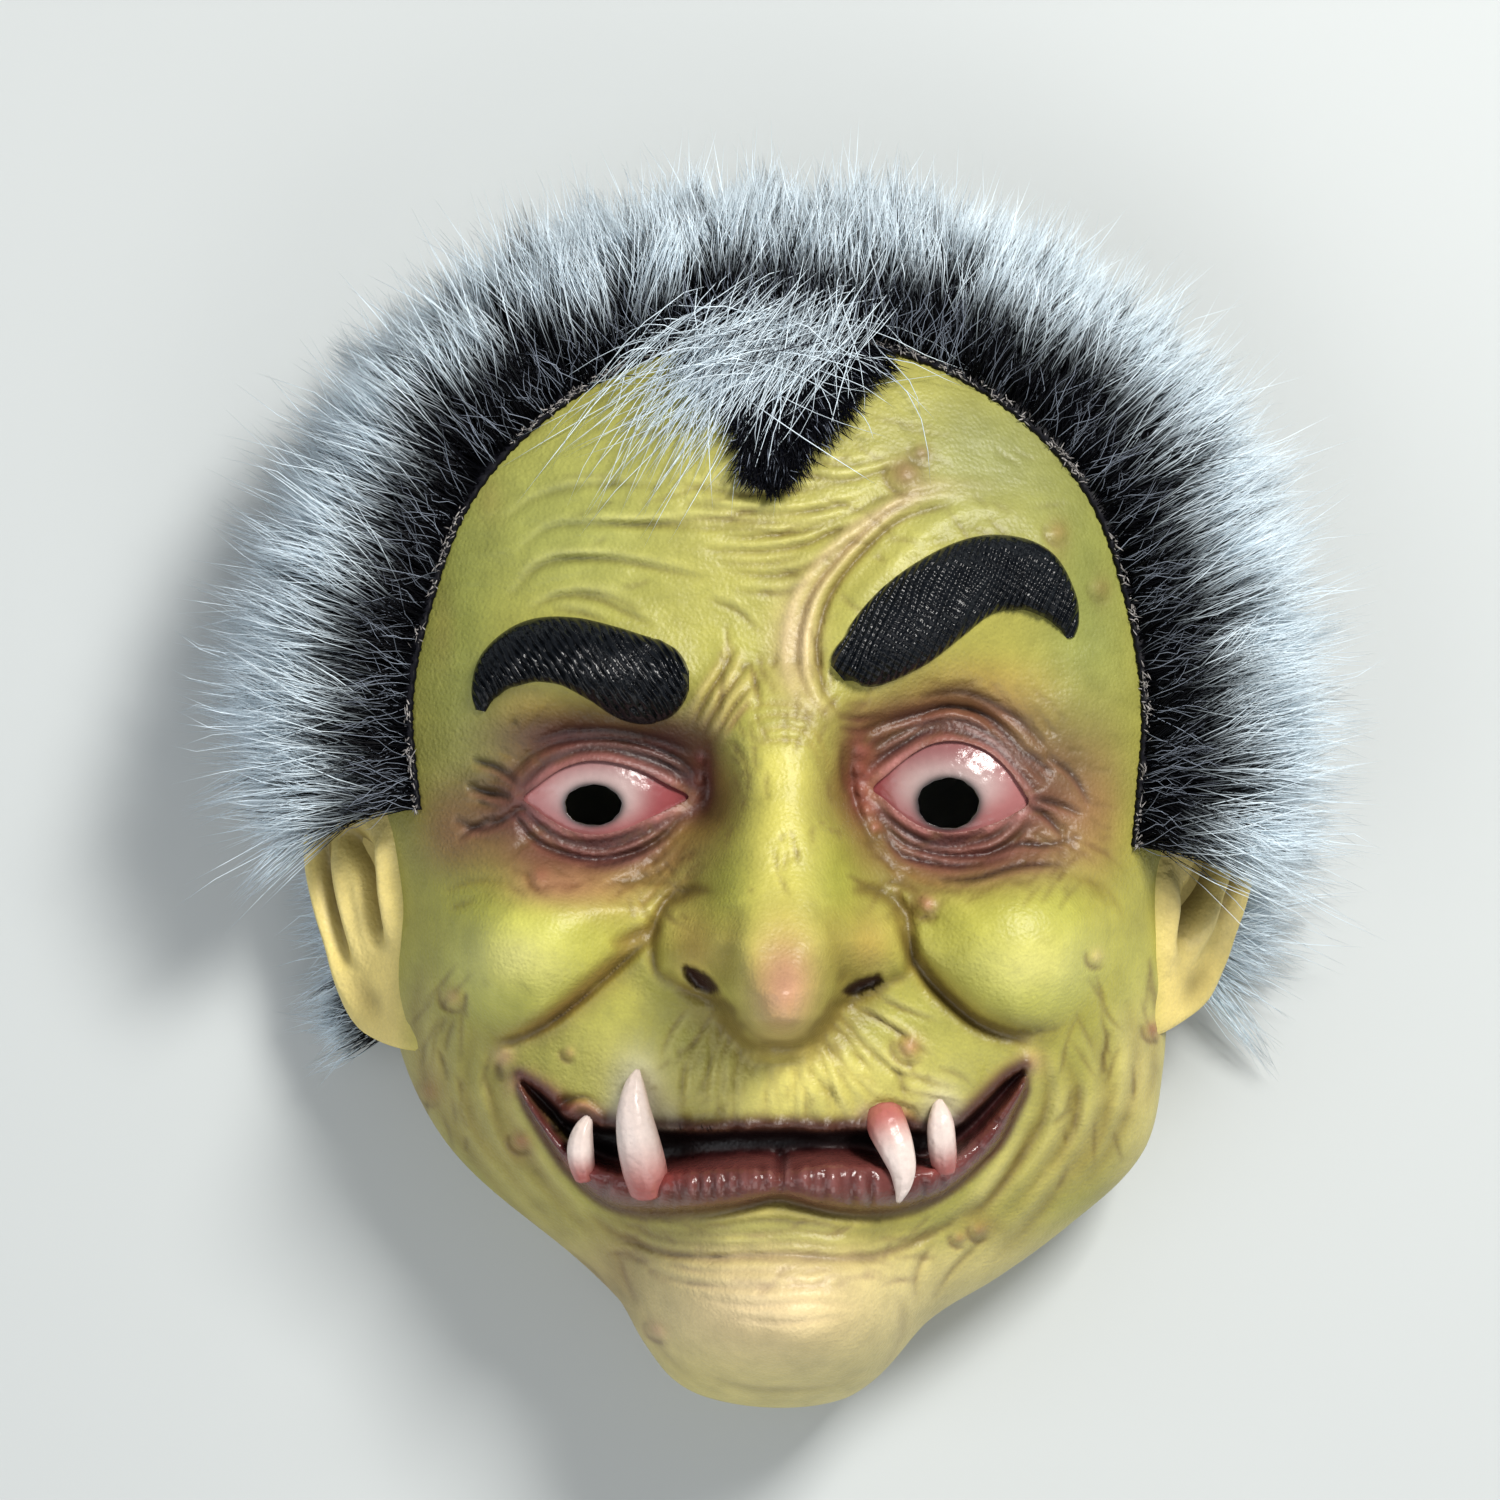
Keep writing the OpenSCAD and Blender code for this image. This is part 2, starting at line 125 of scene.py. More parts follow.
floor = solid_mesh("studio_floor", [(-2500, -2500, 0), (2500, -2500, 0), (2500, 2500, 0), (-2500, 2500, 0)],
                   [(0, 1, 2, 3)], smooth=False)
floor_finish, floor_shader = new_finish("floor_paper", Roughness=0.9)
place = finish_node(floor_finish, "ShaderNodeTexCoord")
grain = finish_node(floor_finish, "ShaderNodeTexNoise", Vector=place.outputs["Object"], Scale=3.0, Detail=4.0)
tone = finish_node(floor_finish, "ShaderNodeMix", data_type="RGBA", Factor=grain.outputs["Fac"],
                   i6=(0.47, 0.50, 0.50, 1), i7=(0.51, 0.54, 0.54, 1))
connect(floor_finish, tone.outputs[2], floor_shader.inputs["Base Color"])
floor.data.materials.append(floor_finish)


# ---------------------------------------------------------------------------------------------------
# The latex face: one moulding, 2.4 mm thick, poured in a mould, cut along its rim with scissors and
# painted by hand. Its shape is a domed head carried from the bridge of the nose out to the widest
# line and on to the rim, with the sculpted features added to the height over a sheet of 0.5 mm cells.
widest_z, dome_h, rim_tuck = 26.0, 48.0, 0.05
dome_m, dome_n, fade_from = 2.6, 1.8, 0.85
skin_t = 2.4
left_eye, right_eye = np.array((-38.5, 0.0)), np.array((37.0, 1.5))
left_pupil, right_pupil = np.array((-40.8, -1.0)), np.array((36.6, -0.6))
outline = np.array([
    (0, 89), (15, 93.6), (30, 99.6), (45, 108), (60, 113), (75, 115.2), (90, 115.1), (105, 115), (120, 112),
    (135, 107.5), (150, 100), (165, 95), (180, 90), (195, 90), (210, 100), (225, 107), (243, 111), (252, 117.5),
    (256, 125.5), (259.5, 132), (263, 135), (270, 136.4), (276, 135.2), (279.5, 131.5), (286, 121.5), (294, 118),
    (304, 115.5), (316, 113.5), (325, 105), (332, 98.5), (345, 90), (360, 89)], float)
nose_rows = np.array([(-57, 0, 6), (-53, 0.16, 7), (-50, 0.55, 8), (-46, 0.9, 9.5), (-40, 1, 11), (-30, 0.86, 12.5),
                      (-15, 0.6, 12), (0, 0.4, 11), (15, 0.22, 10), (30, 0.05, 12), (40, 0, 14)])
nose_h = 40.0
bulges = np.array([
    (-57, -30, 15, 16, 0, 13), (56, -29, 15, 16, 0, 13), (-19, -32, 7, 7, 0, 13), (19, -31, 7, 7, 0, 13),
    (0, -62, 36, 13, 0, 9), (0, -84, 34, 6, 0, 6), (2, -114, 21, 15, 0, 26), (-43, 29, 20, 8, -6, 6),
    (37, 42, 22, 9, 32, 7), (0, 62, 42, 22, 0, 3), (-38, 2, 15, 8, 0, -6), (37, 3, 15, 10, 0, -6)])


def smooth(t):
    """0 to 1 with flat ends: 3t squared less 2t cubed."""
    t = np.clip(t, 0, 1)
    return t * t * (3 - 2 * t)


def outline_r(a):
    """The outline's radius at angles in degrees: a cubic through the table, with the slopes of the
    chords between each row's neighbours."""
    rows = outline[:-1]
    angle = np.concatenate((rows[-1:, 0] - 360, rows[:, 0], rows[:2, 0] + 360))
    radius = np.concatenate((rows[-1:, 1], rows[:, 1], rows[:2, 1]))
    b = np.mod(a, 360)
    k = np.clip(np.searchsorted(angle, b, side="right") - 1, 1, len(angle) - 3)
    w = angle[k + 1] - angle[k]
    t = (b - angle[k]) / w
    m0 = (radius[k + 1] - radius[k - 1]) / (angle[k + 1] - angle[k - 1]) * w
    m1 = (radius[k + 2] - radius[k]) / (angle[k + 2] - angle[k]) * w
    return ((2 * t**3 - 3 * t**2 + 1) * radius[k] + (t**3 - 2 * t**2 + t) * m0
            + (3 * t**2 - 2 * t**3) * radius[k + 1] + (t**3 - t**2) * m1)


def nose(x, y):
    """A ridge along Y whose height and half width follow the rows; across, exp(-0.7 |x/w|^2.4)."""
    h = np.interp(y, nose_rows[:, 0], nose_rows[:, 1])
    w = np.interp(y, nose_rows[:, 0], nose_rows[:, 2])
    return nose_h * h * np.exp(-0.7 * (np.abs(x) / w) ** 2.4)


def relief(x, y):
    """The nose and the soft bulges: each is h exp(-(u^2 + v^2) / 2) in its own turned axes."""
    z = nose(x, y)
    for cx, cy, sx, sy, turn, h in bulges:
        c, s = math.cos(math.radians(turn)), math.sin(math.radians(turn))
        u, v = ((x - cx) * c + (y - cy) * s) / sx, ((y - cy) * c - (x - cx) * s) / sy
        z = z + h * np.exp(-(u * u + v * v) / 2)
    return z


def share_at(x, y):
    """How far out a place is, from 0 at the bridge of the nose to 1 on the outline."""
    return np.clip(np.hypot(x, y) / outline_r(np.degrees(np.arctan2(y, x))), 0, 1)


def fade(share):
    """1 over the face, then a quarter ellipse down to 0 on the outline."""
    return np.sqrt(np.clip(1 - (np.clip(share - fade_from, 0, 1) / (1 - fade_from)) ** 2, 0, 1))


def dome(x, y):
    """The plain dome: widest_z + dome_h (1 - share^m)^(1/n)."""
    return widest_z + dome_h * np.clip(1 - share_at(x, y) ** dome_m, 0, 1) ** (1 / dome_n)


nose_body = np.array([(-57, 0, 5), (-53, 0.16, 5.4), (-50, 0.6, 6.6), (-46, 0.92, 8.4), (-40, 1, 10.6), (-30, 0.86, 13.4), (-15, 0.6, 14.4),
                      (0, 0.42, 14), (15, 0.27, 13), (22, 0.16, 12.5), (30, 0.02, 12), (40, 0, 12)])


def full_nose(x, y):
    """The sculptor's nose: the same ridge, broader and steeper, h exp(-0.7 |x/w|^3.2)."""
    h = np.interp(y, nose_body[:, 0], nose_body[:, 1])
    w = np.interp(y, nose_body[:, 0], nose_body[:, 2])
    return nose_h * h * np.exp(-0.7 * (np.abs(x + 0.6) / w) ** 3.2)


# The sheet of cells that the sculpting and the painting are laid out on.
cell = 0.5
sheet_x = np.arange(-125, 125 + cell, cell)
sheet_y = np.arange(-145, 130 + cell, cell)
gx, gy = np.meshgrid(sheet_x, sheet_y)
form = relief(gx, gy) + full_nose(gx, gy) - nose(gx, gy)
plain_form = form.copy()
paint = np.zeros(gx.shape + (3,))
gloss = np.zeros(gx.shape)


def sample(layer, x, y):
    """Reads a sheet at places between its cells, bilinearly."""
    u = np.clip((x - sheet_x[0]) / cell, 0, len(sheet_x) - 1.001)
    v = np.clip((y - sheet_y[0]) / cell, 0, len(sheet_y) - 1.001)
    i, j = u.astype(int), v.astype(int)
    p, q = u - i, v - j
    if layer.ndim == 3:
        p, q = p[..., None], q[..., None]
    return ((1 - p) * (1 - q) * layer[j, i] + p * (1 - q) * layer[j, i + 1]
            + (1 - p) * q * layer[j + 1, i] + p * q * layer[j + 1, i + 1])


def soften(layer, spread):
    """A Gaussian blur of spread millimetres, by Fourier transform on a mirrored border."""
    pad = int(4 * spread / cell) + 2
    big = np.pad(layer, pad, mode="reflect")
    fy, fx = np.fft.fftfreq(big.shape[0])[:, None], np.fft.rfftfreq(big.shape[1])[None]
    gain = np.exp(-2 * (math.pi * spread / cell) ** 2 * (fx**2 + fy**2))
    return np.fft.irfft2(np.fft.rfft2(big) * gain, big.shape)[pad:-pad, pad:-pad]


def curve(points, step=0.7):
    """A Catmull-Rom curve through rows of numbers, of which the first two are x and y."""
    p = np.asarray(points, float)
    p = np.vstack((2 * p[0] - p[1], p, 2 * p[-1] - p[-2]))
    out = []
    for k in range(1, len(p) - 2):
        n = max(2, int(np.hypot(*(p[k + 1] - p[k])[:2]) / step) + 1)
        t = np.linspace(0, 1, n, endpoint=k == len(p) - 3)[:, None]
        out.append(0.5 * (2 * p[k] + (p[k + 1] - p[k - 1]) * t + (2 * p[k - 1] - 5 * p[k] + 4 * p[k + 1] - p[k + 2]) * t**2
                          + (3 * p[k] - p[k - 1] - 3 * p[k + 1] + p[k + 2]) * t**3))
    return np.vstack(out)


def near(line, reach):
    """The window of the sheet within reach of a line, with each cell's distance and nearest row."""
    x0, y0 = line[:, :2].min(0) - reach
    x1, y1 = line[:, :2].max(0) + reach
    i0, i1 = np.searchsorted(sheet_x, (x0, x1))
    j0, j1 = np.searchsorted(sheet_y, (y0, y1))
    window = (slice(j0, j1), slice(i0, i1))
    wx, wy = gx[window], gy[window]
    best, row = np.full(wx.shape, 1e9), np.zeros(wx.shape, int)
    for k, (x, y) in enumerate(line[:, :2]):
        d = (wx - x) ** 2 + (wy - y) ** 2
        closer = d < best
        best[closer], row[closer] = d[closer], k
    return window, np.sqrt(best), row


def fold(points, width, height, tint=None, strength=0.0, ends=True, sharp=2.0):
    """A crease (height under 0) or a ridge along a curve: height exp(-(d / width)^sharp), running out
    towards both ends, with paint of the tint laid along it."""
    line = curve(points)
    window, d, row = near(line, width * 3 + 1)
    t = row / max(1, len(line) - 1)
    run_out = np.sin(np.pi * np.clip(t, 0.0, 1.0)) ** 0.6 if ends else 1.0
    profile = np.exp(-((d / width) ** sharp)) * run_out
    form[window] += height * profile
    if tint is not None:
        lay(tint, profile * strength, window)


def lay(tint, cover, window=None):
    """Paints a tint over the sheet by a cover of 0 to 1."""
    window = window or (slice(None), slice(None))
    cover = np.clip(cover, 0, 1)[..., None]
    paint[window] = paint[window] * (1 - cover) + np.asarray(tint) * cover


def inside(points, x, y):
    """True inside a closed outline: an odd number of its sides is crossed by a ray along X."""
    p = np.asarray(points, float)
    q = np.roll(p, -1, 0)
    hit = np.zeros(np.shape(x), bool)
    for (x0, y0), (x1, y1) in zip(p[:, :2], q[:, :2]):
        if y0 != y1:
            hit ^= ((y0 > y) != (y1 > y)) & (x < (x1 - x0) * (y - y0) / (y1 - y0) + x0)
    return hit


def closed(points, step=0.7):
    """A smooth closed outline through points."""
    p = np.asarray(points, float)
    line = curve(np.vstack((p[-1:], p, p[:2])), step)
    start = np.argmin(np.hypot(*(line - p[0]).T))
    end = start + 5 + np.argmin(np.hypot(*(line[start + 5:] - p[0]).T))
    return line[start:end]


def depth_in(points, reach):
    """The window round a closed outline and each cell's distance inside it, under 0 outside."""
    line = closed(points)
    window, d, _ = near(line, reach)
    return window, np.where(inside(line, gx[window], gy[window]), d, -d)


def pad(points, height, edge, tint=None, strength=1.0, blur=0.6, power=0.5):
    """A raised (or sunk) region: its edge is rounded over a width, and it may be painted."""
    window, d = depth_in(points, 3 * edge + 3)
    u = np.clip(d / edge, 0, 1)
    form[window] += height * (1 - (1 - u) ** 2) ** power
    if tint is not None:
        lay(tint, smooth(d / blur * 0.5 + 0.5) * strength, window)
    return window, d


def spot(x, y, r, height, tint=None, strength=0.0, squeeze=1.0):
    """A small round bump, squeezed along Y."""
    window, d, _ = near(np.array([(x, y)], float), 3.2 * r)
    d = np.hypot(gx[window] - x, (gy[window] - y) / squeeze)
    form[window] += height * np.exp(-((d / r) ** 2.6))
    if tint is not None:
        lay(tint, strength * np.exp(-((d / (r * 1.2)) ** 2)), window)


def ripple(seed, scale_x, scale_y, turn=0.0):
    """Smooth noise of -1 to 1 with cells of scale_x by scale_y millimetres, turned by an angle."""
    c, s = math.cos(math.radians(turn)), math.sin(math.radians(turn))
    u, v = (gx * c + gy * s) / scale_x + 500.0, (gy * c - gx * s) / scale_y + 500.0
    table = np.random.default_rng(seed).uniform(-1, 1, (1024, 1024))
    i, j = np.floor(u).astype(int), np.floor(v).astype(int)
    p, q = smooth(u - i), smooth(v - j)
    i, j = i % 1023, j % 1023
    return ((table[j, i] * (1 - p) + table[j, i + 1] * p) * (1 - q)
            + (table[j + 1, i] * (1 - p) + table[j + 1, i + 1] * p) * q)


def srgb(r, g, b):
    """A colour from 0 to 255 display values as linear light."""
    c = np.array((r, g, b)) / 255
    return np.where(c <= 0.04045, c / 12.92, ((c + 0.055) / 1.055) ** 2.4)


# The ground coat: yellow-green, more olive towards the brow, paler on the chin and the jaw.
olive, lime, pale = srgb(160, 156, 72), srgb(186, 188, 74), srgb(204, 190, 120)
crease, umber, tan = srgb(92, 78, 30), srgb(70, 40, 26), srgb(196, 160, 104)
plum, rose, blood = srgb(116, 62, 62), srgb(176, 118, 112), srgb(120, 52, 44)
paint[:] = olive
lay(srgb(178, 172, 92), 0.7 * np.exp(-(((gx) / 60) ** 2 + ((gy - 75) / 36) ** 2)))
lay(pale, smooth((-88 - gy) / 16) * 0.75)
lay(pale, smooth((np.abs(gx) - 66) / 16) * smooth((-30 - gy) / 30) * 0.6)
lay(srgb(204, 196, 118), 0.55 * np.exp(-((gx / 34) ** 2 + ((gy + 62) / 10) ** 2)))
# Lime on the balls of the cheeks, and a paler spot in the middle of each, a painted highlight.
for cx, cy in ((-58, -32), (55, -33)):
    lay(lime, np.exp(-(((gx - cx) / 19) ** 2 + ((gy - cy) / 15) ** 4)) * 0.8)
    lay(srgb(214, 208, 132), np.exp(-(((gx - cx) / 12) ** 2 + ((gy - cy + 2) / 8) ** 2)) * 0.6)
lay(srgb(132, 134, 66), 0.55 * np.exp(-(((gx - 48) / 22) ** 2 + ((gy - 76) / 20) ** 2)))
lay(srgb(138, 136, 66), 0.5 * smooth((np.abs(gx + 2) - 56) / 14) * smooth((gy + 10) / 20) * smooth((100 - gy) / 20))
lay(srgb(198, 190, 92), np.exp(-((gx / 7) ** 2)) * smooth((18 - gy) / 10) * smooth((gy + 50) / 10) * 0.75)
lay(srgb(160, 114, 88), np.exp(-(((gx - 1) / 6.5) ** 2 + ((gy + 38) / 11) ** 2)) * 0.9)
lay(srgb(188, 150, 84), np.exp(-(((np.abs(gx) - 18) / 6) ** 2 + ((gy + 31) / 7) ** 2)) * 0.6)
for side, cx in ((-1, -12), (1, 13)):
    lay(srgb(150, 156, 48), np.exp(-(((gx - cx) / 5) ** 2 + ((gy + 8) / 22) ** 2)) * 0.55)

# The eye sockets, worked down round each eyeball: the lids lie on the ball and roll out to the brow
# and the cheek. Each opening is the outline of what shows of the eyeball.
eye_ball_r, eye_proud = 22.0, 3.5
left_opening = [(-56, 0.6), (-52, 4), (-47.5, 7), (-42, 8.6), (-36, 8.2), (-30, 6.3), (-24.5, 3.4), (-20, 0.8),
                (-24, -1.6), (-29, -4), (-34, -6.2), (-40, -7.4), (-45.5, -6.6), (-50.5, -4), (-54, -1.4)]
right_opening = [(20.3, 2.6), (24, 6.2), (29, 10.2), (34, 12.6), (39.5, 12.8), (45, 10.8), (49.5, 7), (53, 2), (54.2, -0.6),
                 (51.5, -2.6), (47.5, -4.6), (42, -6.4), (36, -7), (30.5, -5.6), (26, -2.6), (22.6, 0.4)]


def plain_height(centre):
    """The CAD skin's height over an eye's centre, which the eyeball is hung from."""
    x, y = np.array(centre[0]), np.array(centre[1])
    return float(dome(x, y) + relief(x, y) * fade(share_at(x, y)))


def eyeball(centre, x, y):
    """The height of an eye's outer surface: a ball of radius 22 whose top stands 3.5 over the skin,
    drawn out along X to reach under both corners of the lids and eased out flat at its edge: with
    v = r^2 - d^2, the height is the root of (v + sqrt(v^2 + 300^2)) / 2."""
    top = plain_height(centre) + eye_proud
    d2 = ((x - centre[0]) * 0.8) ** 2 + (y - centre[1]) ** 2
    v, v_top = eye_ball_r**2 - d2, eye_ball_r**2
    return top + np.sqrt(0.5 * (v + np.hypot(v, 300))) - math.sqrt(0.5 * (v_top + math.hypot(v_top, 300)))


for centre, opening in ((left_eye, left_opening), (right_eye, right_opening)):
    window, d = depth_in(opening, 26)
    wx, wy = gx[window], gy[window]
    lid = eyeball(centre, wx, wy) - dome(wx, wy) + 1.1 + 1.5 * (1 - np.exp(-np.clip(-d, 0, 9) / 2.2))
    hold = np.exp(-(np.clip(-d, 0, None) / 8.5) ** 2.2)
    form[window] = form[window] * (1 - hold) + lid * hold
    cover = np.exp(-(np.clip(-d - 1, 0, None) / 9.5) ** 2)
    lay(srgb(96, 44, 45), cover * 0.95, window)
    lay(srgb(192, 128, 124), np.exp(-(((d + 1.1) / 0.9) ** 2)) * 0.85, window)

# Dark wash round the eyes, deepest at both inner corners and out along the left temple.
for x, y, sx, sy, tint, strength in (
        (-62, -1, 13, 9, srgb(90, 46, 46), 0.95), (-50, 15, 18, 6, srgb(96, 52, 44), 0.9), (-24, 13, 9, 7, srgb(78, 44, 36), 0.85),
        (-18, 5, 4, 9, srgb(82, 36, 38), 0.8), (-46, -12, 20, 5, srgb(112, 62, 62), 0.8), (-36, -18, 12, 6, tan, 0.5),
        (18, 5, 4, 10, srgb(124, 58, 54), 0.85), (36, 17, 19, 6, srgb(110, 66, 48), 0.9), (20, 13, 7, 3, srgb(82, 44, 30), 0.8),
        (64, 6, 10, 13, srgb(116, 74, 54), 0.85), (60, -1, 10, 5, srgb(92, 46, 46), 0.75), (48, -12, 17, 6, srgb(122, 74, 68), 0.8),
        (34, -14, 10, 5, srgb(128, 76, 66), 0.6), (70, -2, 5, 18, srgb(150, 112, 66), 0.5), (-72, -6, 7, 9, srgb(150, 100, 80), 0.5),
        (-50, -18, 9, 4, srgb(178, 128, 104), 0.6), (-56, 21, 9, 5, srgb(170, 140, 60), 0.5), (44, 27, 16, 5, srgb(168, 140, 66), 0.5)):
    lay(tint, strength * np.exp(-(((gx - x) / sx) ** 2 + ((gy - y) / sy) ** 2)))

# Folds of the upper lids, the lid creases and the bags under the eyes: (points, width, height).
lid_line, lid_highlight = srgb(48, 16, 20), srgb(200, 150, 146)
lid_folds = (
        (((-58, 1.5), (-50, 8.5), (-41, 11.4), (-32, 10), (-24, 6.5), (-19, 2)), 1.0, -1.5),
        (((-60, 5), (-52, 11.2), (-42, 13.6), (-31, 12.6), (-22, 8.8), (-17.5, 4)), 0.9, -1.7),
        (((-55, 12), (-47, 15), (-38, 15.4), (-28, 13.8), (-19, 10.5)), 0.8, -1.2),
        (((-34, 10.6), (-28, 9.2), (-22.5, 6.6), (-18.5, 4)), 0.6, -0.9),
        (((-57, -1), (-52, -6), (-45, -9.6), (-38, -10.2), (-30, -7.4), (-22.5, -2.6)), 0.9, -1.3),
        (((-59, -2), (-54, -8.4), (-46, -12), (-38, -12.6), (-29, -9.6), (-20.5, -2.8)), 0.9, -1.5),
        (((-48, -8.3), (-41, -9), (-34, -7.6), (-27, -4.2)), 0.6, -0.8),
        (((-44, -14.6), (-36, -13.6), (-29, -10.6), (-24, -7)), 0.7, -0.8),
        (((-69, 3), (-64, 1.6), (-59, 0.6)), 1.0, -1.2), (((-72, -4), (-66, -6.4), (-60, -4), (-56, -1)), 1.0, -1.0),
        (((-71, -9), (-66, -5.4), (-62, -3.6)), 0.8, -0.8), (((-68, 9), (-62, 7), (-57, 3.4)), 0.8, -0.8),
        (((17.5, 15.2), (22, 16.6), (30, 18.8), (37, 20.6), (44, 19), (50, 13.6), (55, 7.6), (59, 4)), 1.1, -2.6),
        (((18.5, 6.5), (24, 10.2), (31, 14.4), (38, 15.2), (46, 12.4), (52, 6.6), (57, 1)), 0.9, -1.5),
        (((20, 11.5), (27, 15), (34, 17.2), (41, 17), (48, 12.8), (54, 7)), 0.7, -1.1),
        (((20.5, 9), (27, 12.8), (33, 15.9), (40, 16.2), (46, 14)), 0.6, -0.9),
        (((20.5, 0.5), (25, -5), (31, -8.6), (38, -9.8), (46, -8), (52, -3.4)), 0.9, -1.3),
        (((20.8, -2.6), (26, -8.4), (32, -11), (40, -12.2), (48, -10.4), (55, -4.6)), 0.9, -1.5),
        (((21.6, -6), (26, -11.4), (32, -13.4), (40, -14.2), (50, -12.2)), 0.8, -1.1),
        (((33, -7.9), (39, -8.4), (45, -6.4)), 0.6, -0.8), (((54, -1), (58, -3.4), (62, -8)), 0.8, -1.0),
        (((55, 0.5), (60, -0.6), (66, -3)), 0.8, -1.0), (((53, 11), (57, 8), (60, 5.5)), 0.8, -0.9),
        (((34, -17), (42, -17), (52, -14.2), (62, -14)), 0.7, -0.7), (((44, -12.6), (52, -9.6), (58, -9.8), (66, -8)), 0.7, -0.8),
        (((58, 10), (64, 5.5), (68, -1)), 0.8, -0.6), (((30, 22.6), (40, 23.6), (50, 19), (58, 12)), 1.2, -0.7))
for points, width, height in lid_folds:
    fold(points, width * 1.15, height * 1.6, lid_line, 1.0)
# Low ridges along the lid folds, painted lighter as highlights.
for points in (((-55, 3), (-48, 9.8), (-40, 12.5), (-31, 11.2), (-23, 7.6)), ((-46, 14.3), (-38, 14.6), (-29, 13.2)),
               ((-53, -5.2), (-46, -9.6), (-38, -11.2), (-29, -8.6), (-22, -3.4)), ((-40, -14.8), (-31, -12.4), (-24, -8.4)),
               ((22, 10.4), (30, 15.2), (38, 16.4), (46, 13.2), (52, 8)), ((22, 15.6), (30, 17.9), (38, 18.9), (46, 15.6)),
               ((22, -3.8), (28, -8.8), (36, -10.8), (46, -9.6), (53, -4.6)), ((24, -9.6), (32, -12.4), (44, -13), (54, -9))):
    fold(points, 0.7, 0.7, lid_highlight, 0.4)
# Inner corners: a small fleshy knob beside the nose at each eye.
for x, y, r, h in ((-17.3, 9, 1.3, 1.2), (-17.6, 4.6, 1.1, 1.0), (-18.6, 0.8, 1.2, 1.0), (17.5, 10.6, 1.5, 1.3), (17, 6.6, 1.3, 1.2),
                   (17.6, 2.2, 1.3, 1.1), (18.6, -2, 1.2, 1.0), (20.6, -6, 1.1, 0.8)):
    spot(x, y, r, h, srgb(168, 96, 92), 0.7)
fold(((-15.5, 14), (-15.8, 8), (-15.4, 2), (-16.6, -4)), 1.0, -1.6, umber, 0.7)
fold(((15.2, 14), (15, 8), (15.8, 1), (18.4, -6), (21, -11)), 1.0, -1.5, srgb(96, 50, 34), 0.7)

# Forehead: long arcs over the left brow, wavy lines across the middle, a deep S fold beside the
# right brow and frown ridges running down to the root of the nose.
line_tint = srgb(112, 96, 44)
for points, width, height in (
        (((-60, 44), (-52, 51), (-40, 52.8), (-28, 50.8), (-16, 48)), 0.9, -1.0), (((-58, 48), (-50, 52.6), (-36, 52)), 0.7, -0.7),
        (((-58, 54), (-50, 59.6), (-36, 60), (-20, 59.6), (-10, 60)), 0.9, -1.0), (((-44, 61.4), (-32, 60.2), (-18, 61), (-8, 60.4)), 0.7, -0.7),
        (((-62, 60), (-54, 66), (-40, 69), (-24, 68)), 0.9, -0.7), (((-56, 41), (-48, 44.4), (-40, 43.8), (-33, 40.6), (-27, 37.6)), 0.8, -1.0),
        (((-50, 41.4), (-44, 40.8), (-37, 38.6)), 0.6, -0.6), (((-46, 45.8), (-38, 44.6), (-30, 41)), 0.6, -0.8),
        (((-22, 65), (-10, 63), (0, 62.2), (12, 64), (22, 67.4)), 0.9, -1.1), (((-24, 62), (-8, 60.8), (4, 60.2), (14, 62), (24, 67)), 0.7, -0.8),
        (((-18, 54.6), (-6, 54), (4, 55.4), (12, 58.6), (20, 61.4)), 0.9, -1.1), (((-14, 57.6), (-4, 57.4), (6, 58.8), (14, 61)), 0.7, -0.9),
        (((-20, 58.8), (-8, 59.2), (2, 58), (12, 60.4)), 0.7, -0.7), (((-26, 70), (-10, 67), (4, 67.6), (18, 70)), 0.8, -0.6),
        (((2, 71), (14, 70), (24, 72.4), (34, 76)), 0.8, -0.7), (((4, 74.5), (14, 73), (24, 75)), 0.6, -0.5),
        (((-12, 50), (0, 49), (10, 53), (18, 58)), 0.8, -0.7), (((-10, 45.5), (0, 45), (7, 48)), 0.7, -0.5),
        (((-16, 44), (-9, 41), (-4, 36)), 0.7, -0.5), (((-14, 52), (-4, 51.4), (5, 53)), 0.6, -0.6)):
    fold(points, width, height, line_tint, 0.55)
    # A low ridge just above each line, painted lighter as a highlight.
    highlight_points = [(x, y + 1.7) for x, y in points]
    fold(highlight_points, 0.9, -height * 0.55, srgb(206, 200, 124), 0.3)
ridge_tint = srgb(214, 184, 150)
for shift, width, height in ((0, 1.7, 1.8), (4.0, 1.4, 1.0)):
    fold([(44 + shift, 66.6 + shift * 0.6), (34, 67 + shift * 0.6), (25 + shift * 0.3, 63.5 + shift * 0.5), (16 - shift * 0.5, 55.6 + shift * 0.5),
          (8.6 - shift, 46.4), (5.6 - shift, 38), (5 - shift, 30), (7.2 - shift, 23), (12 - shift, 17.6)],
         width, height, ridge_tint, 0.45)
for shift in (-1.9, 2.2):
    fold([(38, 66.6 + shift), (27 + shift * 0.3, 63.2 + shift), (18 - shift * 0.5, 56 + shift * 0.5), (10 - shift, 46.4), (6.8 - shift, 38), (6.2 - shift, 30),
          (8.2 - shift, 23), (12.6 - shift * 0.7, 17.4)], 0.8, -1.5, srgb(124, 84, 58), 0.6)
fold(((12, 28), (13, 34), (17, 43), (26, 53), (34, 60), (44, 64), (54, 61), (62, 54)), 2.2, 1.0, srgb(198, 196, 110), 0.3)
for points, width, height in (
        (((-16, 13), (-13, 18.6), (-9.4, 24), (-5.2, 28.4)), 1.4, 2.2), (((-18.5, 15), (-15, 21), (-10.8, 27.4), (-8, 33)), 1.3, 2.0),
        (((-13.4, 12), (-10.4, 17.4), (-7.6, 21), (-6, 25)), 1.1, 1.5), (((-20.5, 17), (-17, 24), (-13, 30), (-11, 35)), 1.1, 1.4)):
    fold(points, width, height * 0.55, srgb(190, 158, 112), 0.35)
